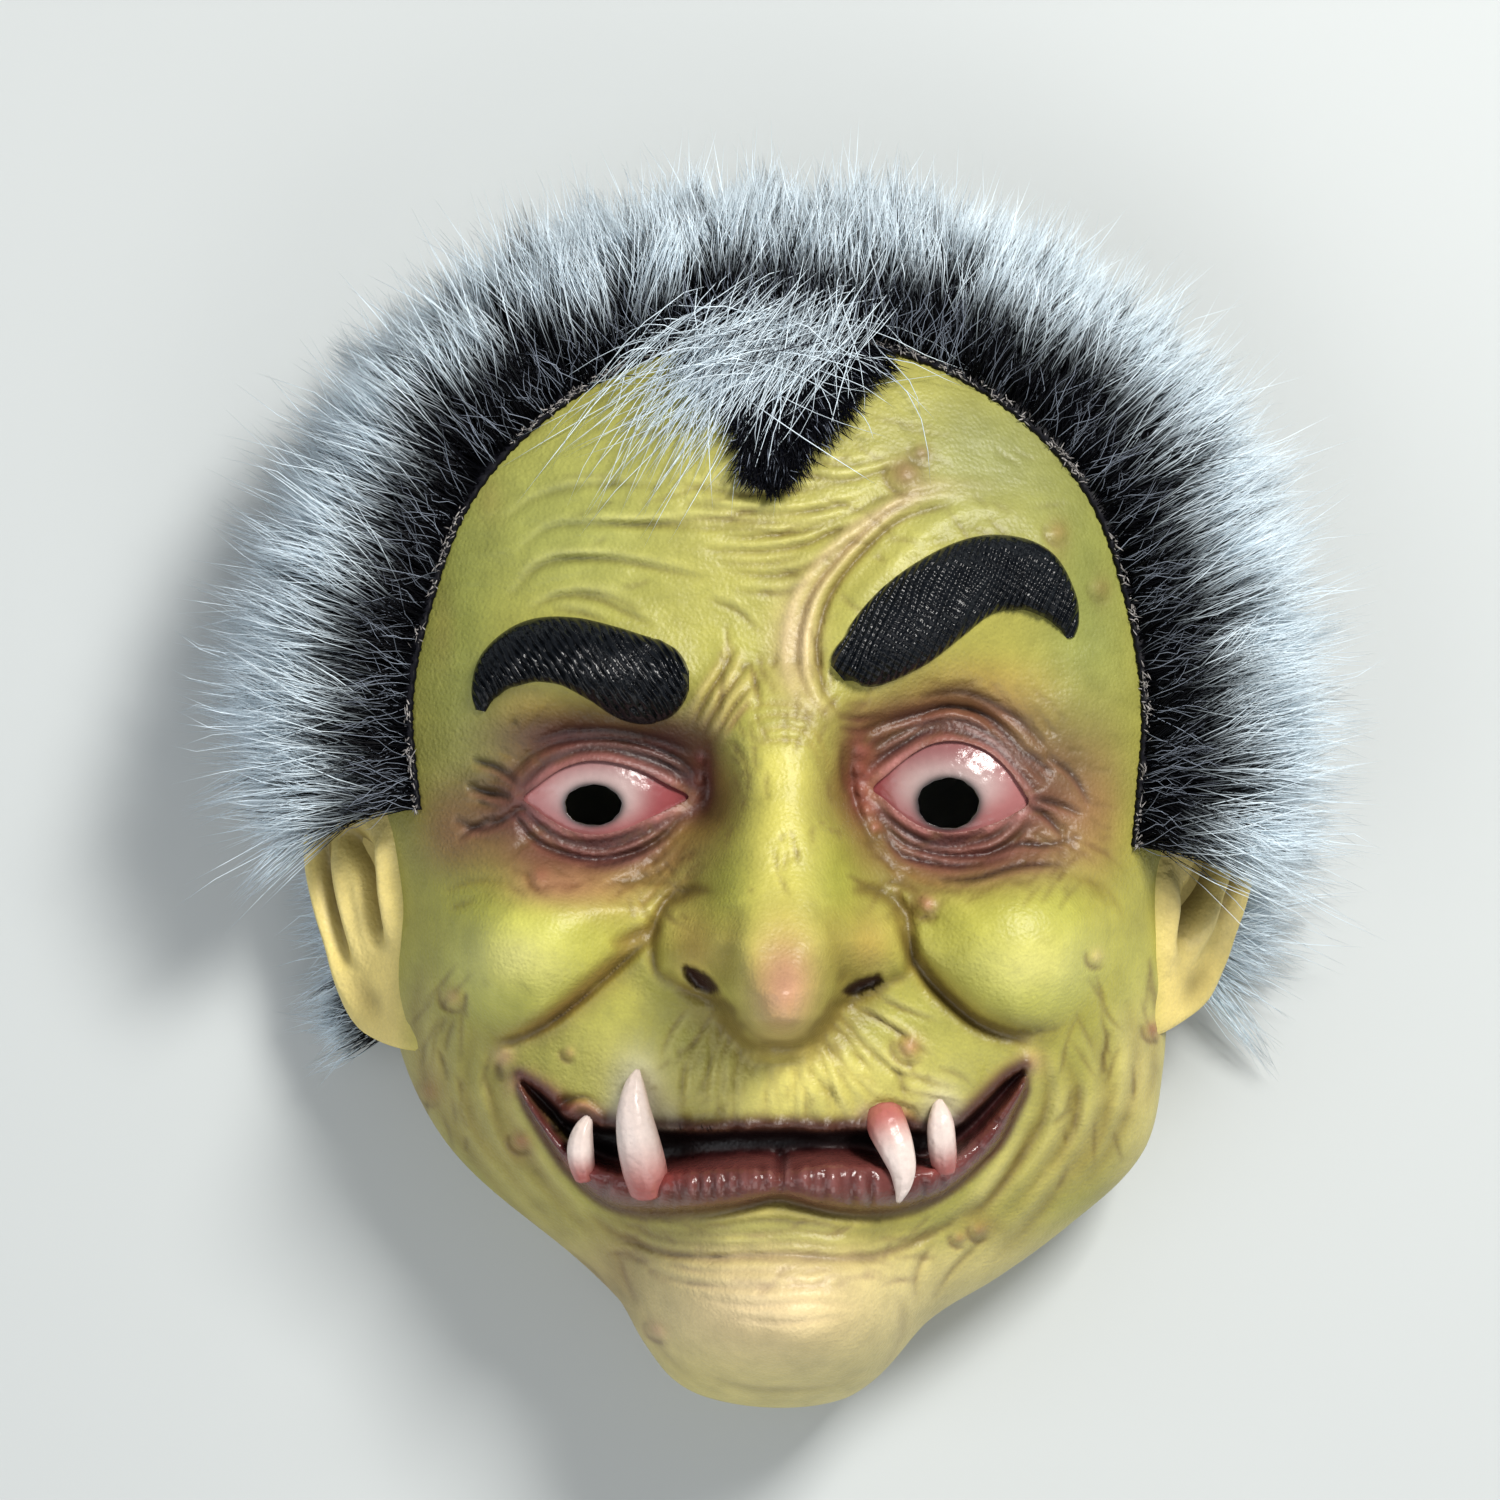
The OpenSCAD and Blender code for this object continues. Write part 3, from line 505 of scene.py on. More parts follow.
for points in (((-17.2, 14), (-14, 20), (-10, 25.6), (-6.6, 30)), ((-14.8, 12.4), (-11.8, 17.8), (-8.4, 22.6), (-5, 26)),
               ((-19.6, 16), (-16, 22.4), (-12, 28.8), (-9.6, 34)), ((-12, 14), (-9, 18.6), (-6, 22)), ((-6.6, 30), (-5, 24), (-4.4, 20))):
    fold(points, 0.6, -1.2, srgb(110, 72, 44), 0.7)
for points in (((-8, 19.4), (-3, 20.8), (3, 20.6), (8, 18)), ((-7, 17.2), (-1, 18.6), (6, 17.8), (10, 15)), ((-5, 14.6), (1, 16), (8, 14)),
               ((-4, 12.4), (2, 13.2), (7.6, 11.4)), ((4, 16.4), (7.2, 11.6), (9.2, 6)), ((6, 17.6), (9, 12), (10.6, 6)), ((-11, 13), (-8, 9), (-6.6, 4))):
    fold(points, 0.6, -0.7, srgb(150, 130, 60), 0.55)
for points in (((12.6, 16), (17, 15), (22, 16.2)), ((12, 18.5), (17, 17.6), (23, 18.6)), ((13.6, 13), (13.4, 7), (14.4, 1))):
    fold(points, 0.8, -1.5, srgb(78, 46, 30), 0.85)
lay(srgb(212, 184, 150), 0.5 * np.exp(-(((gx - 3) / 5) ** 2 + ((gy - 33) / 12) ** 2)))

# Nose: wings with a crease behind them, and nostrils bored in from below.
for side in (-1, 1):
    nx = 17.6 * side + 0.4
    fold(((nx - 3 * side, -19), (nx + 3 * side, -19.6), (nx + 8 * side, -23), (nx + 10.2 * side, -29), (nx + 9.8 * side, -36), (nx + 6.4 * side, -40.6)), 1.5, -2.6,
         srgb(104, 78, 34), 0.65)
    fold(((nx + 8 * side, -36.6), (nx + 4 * side, -40.4), (nx - 2 * side, -43), (nx - 7 * side, -45), (nx - 11 * side, -48.6)), 1.5, -2.2, srgb(98, 72, 34), 0.6)
nostrils = ([(-20.8, -35.4), (-18, -36.2), (-15, -38), (-13.2, -40.8), (-15.4, -41.6), (-18.4, -40.4), (-20.6, -38)],
            [(13.2, -41.2), (15.4, -39.2), (18.4, -38), (21.4, -37.4), (22, -39.2), (19, -41), (15.6, -42.2)])
for nostril in nostrils:
    pad(nostril, -4.5, 1.8, srgb(64, 34, 22), 1.0, 0.9)
fold(((-9, -47.4), (-4, -51), (0, -52), (4, -51), (9, -46.4)), 1.6, -2.4, srgb(108, 80, 38), 0.7)
form += 4.0 * np.exp(-(((gx - 0.6) / 6.4) ** 2 + ((gy + 43.6) / 6.5) ** 2))
fold(((-12.4, -41), (-12, -35), (-10.6, -28), (-10, -22)), 2.6, -1.6, srgb(128, 104, 50), 0.4)
fold(((13, -41), (12.6, -35), (11.4, -28), (11, -22)), 2.6, -1.6, srgb(134, 110, 54), 0.4)
lay(srgb(120, 92, 50), 0.5 * np.exp(-(((gx - 0.5) / 9) ** 4 + ((gy + 54) / 2.2) ** 2)))

# Cheeks: the hard fold from each wing of the nose round under the cheek, and soft lines on them.
for cheek in ([(-24.5, -22), (-27, -28), (-34, -34.4), (-42, -41.6), (-51, -48.4), (-60, -51.6), (-68, -50), (-74, -44), (-76.4, -34), (-74, -23), (-66, -15), (-52, -10),
               (-36, -12)],
              [(24, -19), (26.4, -26), (31, -34), (37, -41.6), (44.6, -47.4), (54, -50), (64, -48), (71, -41), (74, -31), (72.4, -21), (64, -12), (48, -8), (33, -10)]):
    window, d = depth_in(cheek, 12)
    inner_half = smooth((66 - np.abs(gx[window])) / 16) * smooth((-24 - gy[window]) / 14)
    depth = np.clip(d / 14, 0, 1)
    ball = np.sqrt(1 - (1 - depth) ** 2) * inner_half + smooth(depth) * (1 - inner_half)
    form[window] += 7.5 * ball * smooth((-4 - gy[window]) / 30) ** 0.8
    # A painted shadow along the edge of each cheek, strongest low down and on its inner half.
    under = np.exp(-((np.clip(-d - 0.6, -6, None) / 3.4) ** 2)) * smooth((-24 - gy[window]) / 20) * (0.35 + 0.65 * inner_half)
    lay(srgb(116, 98, 40), under * 0.7, window)
fold(((-26, -25), (-32, -31.5), (-40, -38.4), (-48, -45.4), (-56, -50.6), (-63, -53.6)), 1.8, -2.2, srgb(140, 92, 54), 0.6)
fold(((-27, -29), (-35, -36), (-43, -43), (-51.6, -49.6), (-60, -53.6)), 0.9, -1.4, srgb(92, 54, 32), 0.8)
fold(((-25.6, -27.5), (-31, -29), (-37, -31.6)), 1.6, -1.6, srgb(126, 84, 46), 0.7)
fold(((23.6, -20), (26.4, -29), (31, -37), (37.4, -44), (45, -49.6), (55, -52.8)), 1.8, -2.2, srgb(138, 112, 50), 0.55)
fold(((24.6, -24), (29, -35), (35.4, -42.4), (43.6, -49), (54, -53)), 0.9, -1.3, srgb(104, 78, 34), 0.75)
for points in (((-24, -14), (-30, -17), (-38, -22)), ((-21, -12), (-27, -19), (-32, -25)), ((-19.6, -8), (-25, -14.4), (-33, -19.4)),
               ((-19, -4.6), (-24, -9.4), (-31, -15.6), (-40, -20)), ((-19.4, -16), (-24, -20.6), (-28, -26)),
               ((22, -12), (26, -17), (30, -20)), ((25, -13.4), (30, -17), (36, -18.6)), ((23.6, -17), (27, -22.6), (29, -28))):
    fold(points, 0.7, -0.7, srgb(150, 104, 60), 0.5)
for points in (((-74, -20), (-66, -17.6), (-58, -18)), ((-73, -24), (-66, -21.6)), ((66, -16), (72, -20), (76, -27)), ((60, -15), (68, -18.4), (73, -24))):
    fold(points, 1.0, -0.7, srgb(136, 120, 48), 0.4)

# Folds that hang from the cheeks round both ends of the mouth to the jaw.
jowl_tint = srgb(128, 106, 48)
for points, width, height in (
        (((-63, -53), (-64, -60), (-61, -70), (-56, -80), (-48, -90), (-38, -97)), 1.5, -2.4),
        (((-60, -58), (-60, -66), (-56.6, -75), (-51, -84), (-44, -91)), 0.9, -1.4),
        (((-67, -50), (-69, -60), (-67, -70), (-61, -81), (-54, -90), (-45, -99)), 1.7, -2.4),
        (((-73, -47), (-74.6, -58), (-72, -70), (-66, -82), (-57, -93), (-48, -101)), 1.5, -2.0),
        (((-79, -36), (-80.6, -48), (-79, -60), (-74, -72), (-67, -83)), 1.4, -1.5),
        (((-64.6, -62), (-62, -72), (-57, -82)), 0.8, -1.0), (((-70, -62), (-68, -72), (-63, -81)), 0.8, -1.0),
        (((56, -54), (58.6, -62), (57, -71), (52, -80), (45, -89), (36, -96)), 1.4, -2.2),
        (((61, -54), (64.6, -63), (63, -73), (58, -82), (50, -92)), 1.5, -2.0),
        (((68, -50), (71.6, -60), (70, -71), (64, -82), (55, -94), (47, -102)), 1.5, -2.0),
        (((76, -44), (79, -55), (78, -66), (72, -79), (64, -89)), 1.4, -1.5),
        (((55.6, -70), (52, -79), (46, -87.6), (40, -92)), 0.8, -1.1), (((66, -62), (65, -72), (60, -82)), 0.8, -1.0),
        (((74, -62), (71, -74), (65, -84)), 0.8, -0.9), (((82, -50), (83.4, -60), (81, -70)), 1.0, -0.9)):
    fold(points, width * 1.5, height * 0.62, jowl_tint, 0.5)
    # Beside each fold, a low ridge painted lighter as a highlight.
    fold([(x + (3.2 if x < 0 else -3.2), y) for x, y in points], 2.2, -height * 0.4, srgb(208, 196, 126), 0.22)

# Upper lip: creases fan out from under the nose down to the edge of the lip.
for k, (top, bottom) in enumerate((((-6, -51), (-9, -61)), ((-9, -48), (-14, -62)), ((-12, -46), (-19, -66)), ((-14, -45), (-22, -62)), ((-3, -53), (-4, -68)),
                                   ((-8, -52), (-10, -70)), ((-15, -50), (-18, -69)), ((-20, -45), (-26, -56)), ((2, -53), (2.6, -70)), ((4, -50.5), (6.6, -69)),
                                   ((6, -49), (12.6, -70)), ((8, -47.5), (17, -66)), ((9, -46), (20, -60)), ((11, -44.6), (24, -57.6)), ((14, -43.6), (28, -52)),
                                   ((10, -52), (22, -66)), ((6, -58), (15, -70)), ((14, -50), (30, -62)), ((18, -45), (33, -56)), ((20, -42), (34, -48)),
                                   ((22, -58), (38, -63)), ((24, -62), (40, -66)), ((22, -66), (30, -67)), ((-12, -58), (-13, -70)), ((-21, -56), (-23, -68)))):
    middle = (0.5 * (top[0] + bottom[0]) + 0.9 * (-1) ** k, 0.5 * (top[1] + bottom[1]))
    fold((top, middle, bottom), 0.6, -0.75, srgb(134, 112, 52), 0.45)
    # Beside each crease, a low ridge painted lighter as a highlight.
    fold([(x + 1.3, y + 0.4) for x, y in (top, middle, bottom)], 0.8, 0.4, srgb(206, 196, 128), 0.25)
for x, y in ((-47, -66), (-21, -70.4), (-10, -71), (-4.6, -70), (2.6, -70.6), (7, -70.4), (13, -71), (28, -71)):
    spot(x, y, 2.0, -1.6, srgb(104, 72, 36), 0.6)

# Mouth: a deep dark slit, a dark edge on the upper lip and a fat cleft lower lip.
slit = [(-57, -61.4), (-52.4, -65.6), (-47, -71), (-42, -75.4), (-36, -77.4), (-28, -76), (-20, -74.4), (-10, -73), (0, -72.8), (10, -73.4), (18, -74.6),
        (26, -77.4), (33, -77.4), (38.4, -74.6), (43, -70.6), (48, -65.4), (53, -59.6)]
fold([(x, y + 2.2, ) for x, y in slit], 2.0, 1.6, srgb(96, 44, 34), 0.85)
mouth = [(-57, -61), (-51, -65), (-46.4, -69.4), (-42, -70.6), (-36, -71.4), (-28, -71.6), (-18, -71.8), (-8, -71.4), (0, -71.2), (8, -71.6), (16, -71.4),
         (24, -71), (31, -72), (38.4, -71), (44, -66.4), (49, -61.4), (53.4, -58.6), (52, -62), (47, -68), (42, -73.4), (36, -79), (28, -80), (20, -79), (10, -78.4),
         (0, -79.6), (-10, -79), (-20, -80), (-28, -81), (-36, -81), (-43, -77.6), (-48, -72.6), (-53, -66.6)]
pad(mouth, -6.0, 2.4, srgb(12, 4, 4), 1.0, 0.8)
fold([(x, y + 0.6) for x, y in mouth[:17]], 1.7, 0.9, srgb(78, 34, 28), 0.95, ends=False)
fold([(x, y + 2.6) for x, y in mouth[:6]], 2.2, 0.4, srgb(112, 60, 44), 0.7)
fold([(x, y + 2.4) for x, y in mouth[13:17]], 1.8, 0.3, srgb(120, 76, 48), 0.6)
lower_lip = [(-57, -62.6), (-53.4, -67), (-49.6, -72.4), (-45.4, -76.4), (-40.6, -78.6), (-34, -80), (-27, -79.4), (-20, -78.2), (-10, -77), (-2, -76.8), (0, -78.4),
             (2, -76.8), (10, -76.2), (18, -76.8), (26, -78), (32, -78), (38, -75.8), (43, -72), (47.6, -66.6), (52.6, -60.4), (53.6, -63), (51, -69), (48, -75),
             (42.6, -80.6), (36, -85.8), (29, -88.4), (22, -89.4), (14, -88.8), (7, -87.4), (0, -85.6), (-8, -87.2), (-18, -89), (-28, -90), (-36, -89.4),
             (-42, -86), (-47.6, -80), (-52, -73.4), (-55.8, -67)]
lip_window, lip_depth = pad(lower_lip, 7.6, 5.6, srgb(92, 44, 43), 1.0, 0.6)
lip_cover = smooth(lip_depth / 1.5 + 0.3)
lay(srgb(104, 44, 45), 0.6 * lip_cover * smooth((lip_depth - 1) / 3) * (gx[lip_window] < -24), lip_window)
lay(srgb(128, 76, 70), 0.3 * lip_cover * np.exp(-(((gx[lip_window] - 2) / 26) ** 2)), lip_window)
lay(srgb(62, 26, 28), 0.75 * np.exp(-(lip_depth / 0.8) ** 2) * (gy[lip_window] > -78.5), lip_window)
gloss[lip_window] = np.maximum(gloss[lip_window], lip_cover)
for x0, y0, x1, y1 in ((-37, -82, -39, -88), (-32, -82.5, -33, -89), (-27, -81.5, -27.5, -89), (-23.5, -80.5, -24, -88), (-20.5, -80, -21, -87.6), (-17.6, -79.5, -18, -87),
                       (-15, -79, -15.4, -86.6), (-12, -78.6, -12.4, -86), (-9.4, -78.4, -9.6, -85.6), (-6.6, -78, -6.6, -84.6), (-3.8, -77.8, -3.6, -84),
                       (0, -76, 0, -85), (3.4, -78, 3.6, -85), (6.4, -78, 6.8, -86.4), (9.6, -78, 10, -87.4), (12.8, -78.4, 13, -88), (16, -79, 16, -88.6),
                       (19.4, -80, 19.2, -89), (30.6, -81.6, 30.6, -88), (34.6, -80, 35.8, -85.4), (38.6, -77.6, 40.4, -82), (42, -73.6, 44.6, -77.6), (-42, -80, -45, -84),
                       (-46, -76, -49, -79), (-50, -70.6, -53, -72.6), (45.6, -69.6, 48.6, -72)):
    firm = 0.45 + 0.75 * abs(math.sin(7.3 * x0 + 1.1))
    fold(((x0, y0), (0.5 * (x0 + x1) + 0.9 * math.sin(5 * x0), 0.5 * (y0 + y1)), (x1, y1 + 2 - 2 * firm)), 0.55 + 0.3 * firm if x0 else 1.3, -1.25 * firm if x0 else -2.6,
         srgb(66, 26, 26), 0.6 * firm)
    # Beside each crack, a low ridge painted lighter as a highlight.
    fold(((x0 + 1.4, y0 - 1.4), (0.5 * (x0 + x1) + 1.6, 0.5 * (y0 + y1)), (x1 + 1.4, y1 + 1.4)), 0.55, 0.5, srgb(178, 132, 132), 0.22)
fold(((-36, -90.8), (-26, -91.4), (-14, -90), (-5, -87.6), (0, -86.8), (5, -88), (13, -90), (22, -90.8), (31, -89.4), (40, -84)), 1.0, -1.6, srgb(112, 74, 40), 0.7)
fold(((-34, -92.4), (-20, -92), (-6, -89.8), (2, -89.4), (12, -91.8), (24, -93)), 1.2, 1.0, srgb(190, 160, 90), 0.4)
fold(((-59, -55), (-61.6, -58), (-61, -62)), 1.2, -1.5, srgb(92, 62, 36), 0.7)
spot(-60.4, -56, 2.0, 1.6, srgb(196, 160, 112), 0.7)
spot(-58, -62, 2.2, 1.2, srgb(166, 112, 84), 0.5)
spot(54.6, -57, 2.4, 1.2, srgb(196, 160, 112), 0.6)

# White overspray round the big tusk, and red gum paint at the roots of the fangs.
for x, y, sx, sy, tint, strength in ((-31, -66, 5.0, 8.8, srgb(236, 234, 226), 0.9), (35, -70, 4, 6.4, srgb(232, 226, 212), 0.85), (-24.6, -69, 2.4, 4, srgb(224, 220, 190), 0.6),
                                     (19.4, -68.6, 2.4, 2.2, srgb(236, 220, 206), 0.8), (-29, -81.6, 7, 2.4, srgb(150, 56, 52), 0.85), (-42.6, -80, 4.6, 2.2, srgb(150, 62, 60), 0.8),
                                     (35, -79.6, 4.6, 2.2, srgb(140, 56, 52), 0.8), (23, -68.4, 5.4, 2.4, srgb(164, 92, 84), 0.7)):
    lay(tint, 0.85 * strength * np.exp(-(((gx - x) / sx) ** 2 + ((gy - y) / sy) ** 2)))
fold(((18, -72), (19.4, -68.6), (23, -66.8), (27, -68.4), (30, -72)), 1.2, 1.6, srgb(170, 96, 86), 0.7)
fold(((-48, -72), (-46.6, -68), (-43, -66.4), (-39.6, -69), (-38.6, -73)), 1.1, 1.6, srgb(150, 90, 74), 0.7)
fold(((16.6, -74), (17.6, -69), (22, -65.6), (28, -67), (31, -71)), 0.7, -1.0, srgb(110, 66, 46), 0.6)
fold(((-49.6, -71), (-48, -66.6), (-43, -64.8), (-38.4, -67.6)), 0.7, -1.0, srgb(110, 66, 46), 0.6)

# Chin: the deep groove under the lower lip, lines across the chin's top and its boss.
for points, width, height, strength in (
        (((-44, -90), (-34, -96.6), (-20, -99.6), (0, -98.6), (18, -99.6), (32, -96), (44, -88)), 1.3, -2.6, 0.75),
        (((-38, -92), (-26, -96), (-12, -97), (2, -96), (16, -97), (30, -93.6)), 0.8, -1.2, 0.6),
        (((-33, -93), (-22, -94.6), (-10, -94.4), (4, -93.6), (18, -95), (28, -92.6)), 0.7, -0.8, 0.5),
        (((-30, -90.8), (-18, -92.4), (-4, -91), (8, -92), (20, -94)), 0.6, -0.6, 0.4),
        (((-32, -100), (-20, -102.4), (-6, -102), (8, -101.6), (22, -102)), 0.7, -0.9, 0.45),
        (((-36, -98), (-24, -104.6), (-8, -105.6), (6, -105), (18, -106)), 0.7, -0.9, 0.4),
        (((-20, -108), (-8, -109.4), (6, -108.6), (18, -110)), 0.7, -0.7, 0.3), (((-12, -112), (0, -113), (14, -112)), 0.7, -0.6, 0.3),
        (((-30, -112), (-26, -122), (-18, -129)), 1.4, -0.9, 0.3), (((26, -108), (27, -118), (22, -128)), 1.4, -0.9, 0.3),
        (((-18, -127), (-4, -130), (10, -129.6), (20, -126)), 1.2, -0.8, 0.3),
        (((34, -97), (30, -104), (30, -112)), 1.0, -1.0, 0.4), (((-36, -98.6), (-34, -106), (-31, -113)), 1.0, -1.0, 0.4),
        (((46, -96), (38, -104), (33, -112)), 1.0, -1.0, 0.4), (((-48, -100), (-41, -106), (-37, -111)), 1.0, -1.0, 0.4)):
    fold(points, width, height, srgb(122, 104, 44), strength)
lay(srgb(150, 152, 52), 0.6 * np.exp(-(((gx) / 40) ** 4 + ((gy + 94) / 4.6) ** 2)))

# Fine cracks and wrinkles, scratched in at random along the way that each part of the skin folds:
# (how many, x from, x to, y from, y to, length, the point that the lines run round or from, round).
scratch_dice = np.random.default_rng(17)
for many, x0, x1, y0, y1, length, hub, round_it in (
        (70, -34, 38, -70, -52, 6, (0, -34), False), (46, -60, -18, -20, -8, 7, (-38.5, 2), True), (30, -60, -18, 8, 20, 8, (-38.5, -2), True),
        (50, 16, 64, -22, -7, 7, (37, 3), True), (34, 16, 62, 12, 26, 8, (37, -1), True), (34, -14, 12, 8, 36, 6, (2, -40), False),
        (60, -56, 62, 42, 92, 10, (0, -60), True), (56, -36, 34, -106, -91, 7, (0, 20), True), (22, -34, -20, -26, -6, 6, (-66, 10), False),
        (22, 20, 34, -26, -8, 6, (66, 10), False), (26, -68, -54, -12, 10, 7, (-38, 0), False), (26, 56, 72, -14, 12, 7, (38, 0), False),
        (20, -14, 14, -20, 6, 4, (0, 60), False), (24, -80, -62, -84, -40, 9, (-20, -60), True), (24, 62, 84, -86, -40, 9, (20, -60), True)):
    for x, y, size, bend, deep in zip(*(scratch_dice.uniform(a, b, many) for a, b in ((x0, x1), (y0, y1), (0.5, 1.3), (-0.5, 0.5), (0.25, 0.6)))):
        way = np.array((x - hub[0], y - hub[1]))
        way /= np.hypot(*way)
        if round_it:
            way = np.array((-way[1], way[0]))
        way = way + scratch_dice.normal(0, 0.28, 2)
        half = 0.5 * size * length * way
        fold(((x - half[0], y - half[1]), (x + bend * way[1], y - bend * way[0]), (x + half[0], y + half[1])), 0.55, -deep, srgb(104, 80, 46), 0.5)

# Warts and moles.
for x, y, r, h, tint in ((31.6, -22.4, 1.7, 2.2, srgb(160, 112, 84)), (28, -53.4, 2.1, 1.6, srgb(156, 108, 82)), (-27, -117, 1.7, 1.9, srgb(178, 138, 96)),
                         (27.6, 71.6, 2.6, 1.6, srgb(140, 96, 84)), (61, 59, 1.7, 0.8, srgb(150, 112, 62)), (70.6, 46.6, 1.6, 0.8, srgb(146, 104, 62)),
                         (-52, -16, 1.6, 1.0, srgb(150, 96, 74)), (-57, -75, 1.6, 1.2, srgb(148, 98, 62)), (-78, -65, 1.8, 1.2, srgb(150, 106, 62)),
                         (83, -51, 1.5, 1.0, srgb(150, 88, 60)), (44, -95, 1.4, 1.0, srgb(140, 112, 64)), (-71.6, -43, 1.8, 1.4, srgb(176, 146, 84)),
                         (69, -34, 1.4, 0.9, srgb(196, 178, 108)), (31, 76, 1.6, 1.0, srgb(150, 104, 90)), (-46, -55, 1.0, 0.6, srgb(170, 140, 80)),
                         (39.6, -96.6, 1.2, 0.8, srgb(140, 108, 60))):
    spot(x, y, r, h, tint, 0.85)
    fold([(x + 1.9 * r * math.cos(a), y + 1.9 * r * math.sin(a)) for a in np.linspace(2.6, 5.6, 6)], 0.6, -0.7, srgb(104, 66, 40), 0.7)
for x, y, sx, sy, strength in ((61, 57, 2.6, 5, 0.5), (70.6, 46, 2.2, 4.6, 0.5), (-78, -63, 3.4, 5, 0.4), (-64, 66, 3, 5, 0.35), (-74, 37, 2.6, 9, 0.35),
                               (45, -94, 4, 3, 0.4), (-57, -77, 3, 3, 0.4), (28, 71, 5, 4, 0.5)):
    lay(srgb(140, 98, 60), strength * np.exp(-(((gx - x) / sx) ** 2 + ((gy - y) / sy) ** 2)))

# Skin texture over everything, then a dark wash in what is low, which is also painted shade in the hollows, and
# a dry brush of light paint over what is high, which is also a painted highlight.
grain_fine = ripple(5, 1.3, 1.1, 20) * 0.6 + ripple(6, 0.9, 0.8, -35) * 0.4
grain_lines = ripple(7, 6.0, 1.5, 8) * np.exp(-(((gy - 60) / 26) ** 2)) + ripple(8, 1.6, 6.0, -18) * np.exp(-(((gy + 56) / 16) ** 2))
calm = np.exp(-(((np.abs(gx) - 56) / 17) ** 2 + ((gy + 32) / 14) ** 2))
lids = np.exp(-(((gx + 39) / 24) ** 2 + ((gy - 1) / 17) ** 2) ** 2) + np.exp(-(((gx - 37) / 24) ** 2 + ((gy - 2) / 18) ** 2) ** 2)
form += (0.07 * grain_fine + 0.20 * grain_lines + 0.30 * ripple(9, 6, 5) * (1 - 0.8 * lids)) * (1 - 0.7 * calm) * (1 - gloss)
for centre, opening in ((left_eye, left_opening), (right_eye, right_opening)):
    window, d = depth_in(opening, 12)
    ball_height = eyeball(centre, gx[window], gy[window]) - dome(gx[window], gy[window])
    form[window] = np.where(np.abs(gx[window] - centre[0]) < 20.6, np.maximum(form[window], ball_height + 0.6), form[window])
hollow = form - soften(form, 1.6)
broad = form - soften(form, 6.0)
# Painted shade in the hollows and painted highlight on what is high.
lay(np.minimum(paint, srgb(96, 80, 34)), smooth(np.clip(-hollow - 0.10, 0, None) / 0.85) * 0.75 * (1 - gloss))
lay(np.minimum(paint, srgb(118, 98, 40)), smooth(np.clip(-broad - 0.4, 0, None) / 3.2) * 0.5 * (1 - gloss))
lay(np.minimum(1, paint * 1.35 + 0.02), smooth(np.clip(hollow - 0.10, 0, None) / 0.9) * 0.5 * (1 - gloss) * (1 - 0.9 * np.minimum(lids, 1)))
painted_plain = (1 - gloss) * np.clip(1 - 0.85 * lids, 0, 1)
lay(srgb(140, 128, 48), smooth(ripple(11, 16, 13) * 0.6 + 0.1) * 0.3 * painted_plain)
lay(srgb(120, 112, 50), smooth((ripple(12, 2.6, 2.2, 30) + ripple(13, 7, 5)) * 0.5 - 0.15) * 0.3 * painted_plain)

# Last, thin sprays over the texture: maroon on the lids, green at the temples, yellow on the upper
# lip, buff on the chin, painted shade on the left of the chin, and black down inside the mouth and the nostrils.
for x, y, sx, sy, tint, strength in (
        (-46, 14, 19, 5, srgb(64, 24, 26), 0.9), (-26, 12, 9, 6, srgb(56, 22, 22), 0.85), (-62, -1, 11, 8, srgb(82, 36, 38), 0.75),
        (-40, -12, 17, 4, srgb(84, 34, 38), 0.75), (-71, -7, 7, 7, srgb(118, 70, 58), 0.6), (-46, -19, 12, 4, srgb(140, 86, 68), 0.45),
        (36, 18.5, 18, 3.6, srgb(90, 46, 36), 0.85), (60, 8, 9, 9, srgb(96, 52, 42), 0.7), (40, -11.5, 17, 3.4, srgb(94, 46, 44), 0.78),
        (66, -4, 7, 9, srgb(140, 92, 66), 0.5), (46, 23, 17, 5, srgb(160, 122, 70), 0.4), (-16.4, 6, 2.2, 8, srgb(84, 40, 38), 0.7),
        (16.6, 6, 2.2, 10, srgb(110, 54, 48), 0.65),
        (-50, 62, 26, 24, srgb(134, 150, 84), 0.4), (48, 76, 24, 17, srgb(128, 132, 80), 0.72), (68, 42, 12, 34, srgb(120, 130, 68), 0.65),
        (-70, 30, 10, 36, srgb(126, 138, 66), 0.45), (0, -61, 30, 8, srgb(206, 194, 98), 0.45), (-4, -110, 31, 14, srgb(228, 202, 166), 0.6),
        # (-36, -106): painted shade on the left of the chin.
        (-36, -106, 8, 14, srgb(116, 90, 50), 0.6), (0, -40, 7, 9, srgb(190, 138, 118), 0.45), (-82, -62, 11, 22, srgb(116, 108, 42), 0.4)):
    lay(tint, strength * np.exp(-(((gx - x) / sx) ** 2 + ((gy - y) / sy) ** 2)))
# The lid creases drawn again as dark lines, each with a pale line just under it that is a painted highlight.
for points, width, height in lid_folds:
    fold(points, width * 0.75, 0.0, srgb(34, 12, 14), 0.75)
    fold([(x, y - 1.3) for x, y in points], width * 0.6, 0.0, srgb(166, 108, 98), 0.2)
for hollow_edge, dark in ((mouth, srgb(9, 3, 4)), (nostrils[0], srgb(46, 24, 14)), (nostrils[1], srgb(52, 30, 16))):
    window, d = depth_in(hollow_edge, 3)
    lay(dark, smooth((d + 0.5) / 1.3) * (1 - gloss[window]), window)
fold([(x, y + 1.3) for x, y in mouth[:17]], 1.8, 0.0, srgb(60, 24, 22), 0.9, ends=False)
window, d = depth_in(lower_lip, 3)
lay(srgb(74, 30, 30), 0.7 * np.exp(-(((d + 0.3) / 1.0) ** 2)), window)


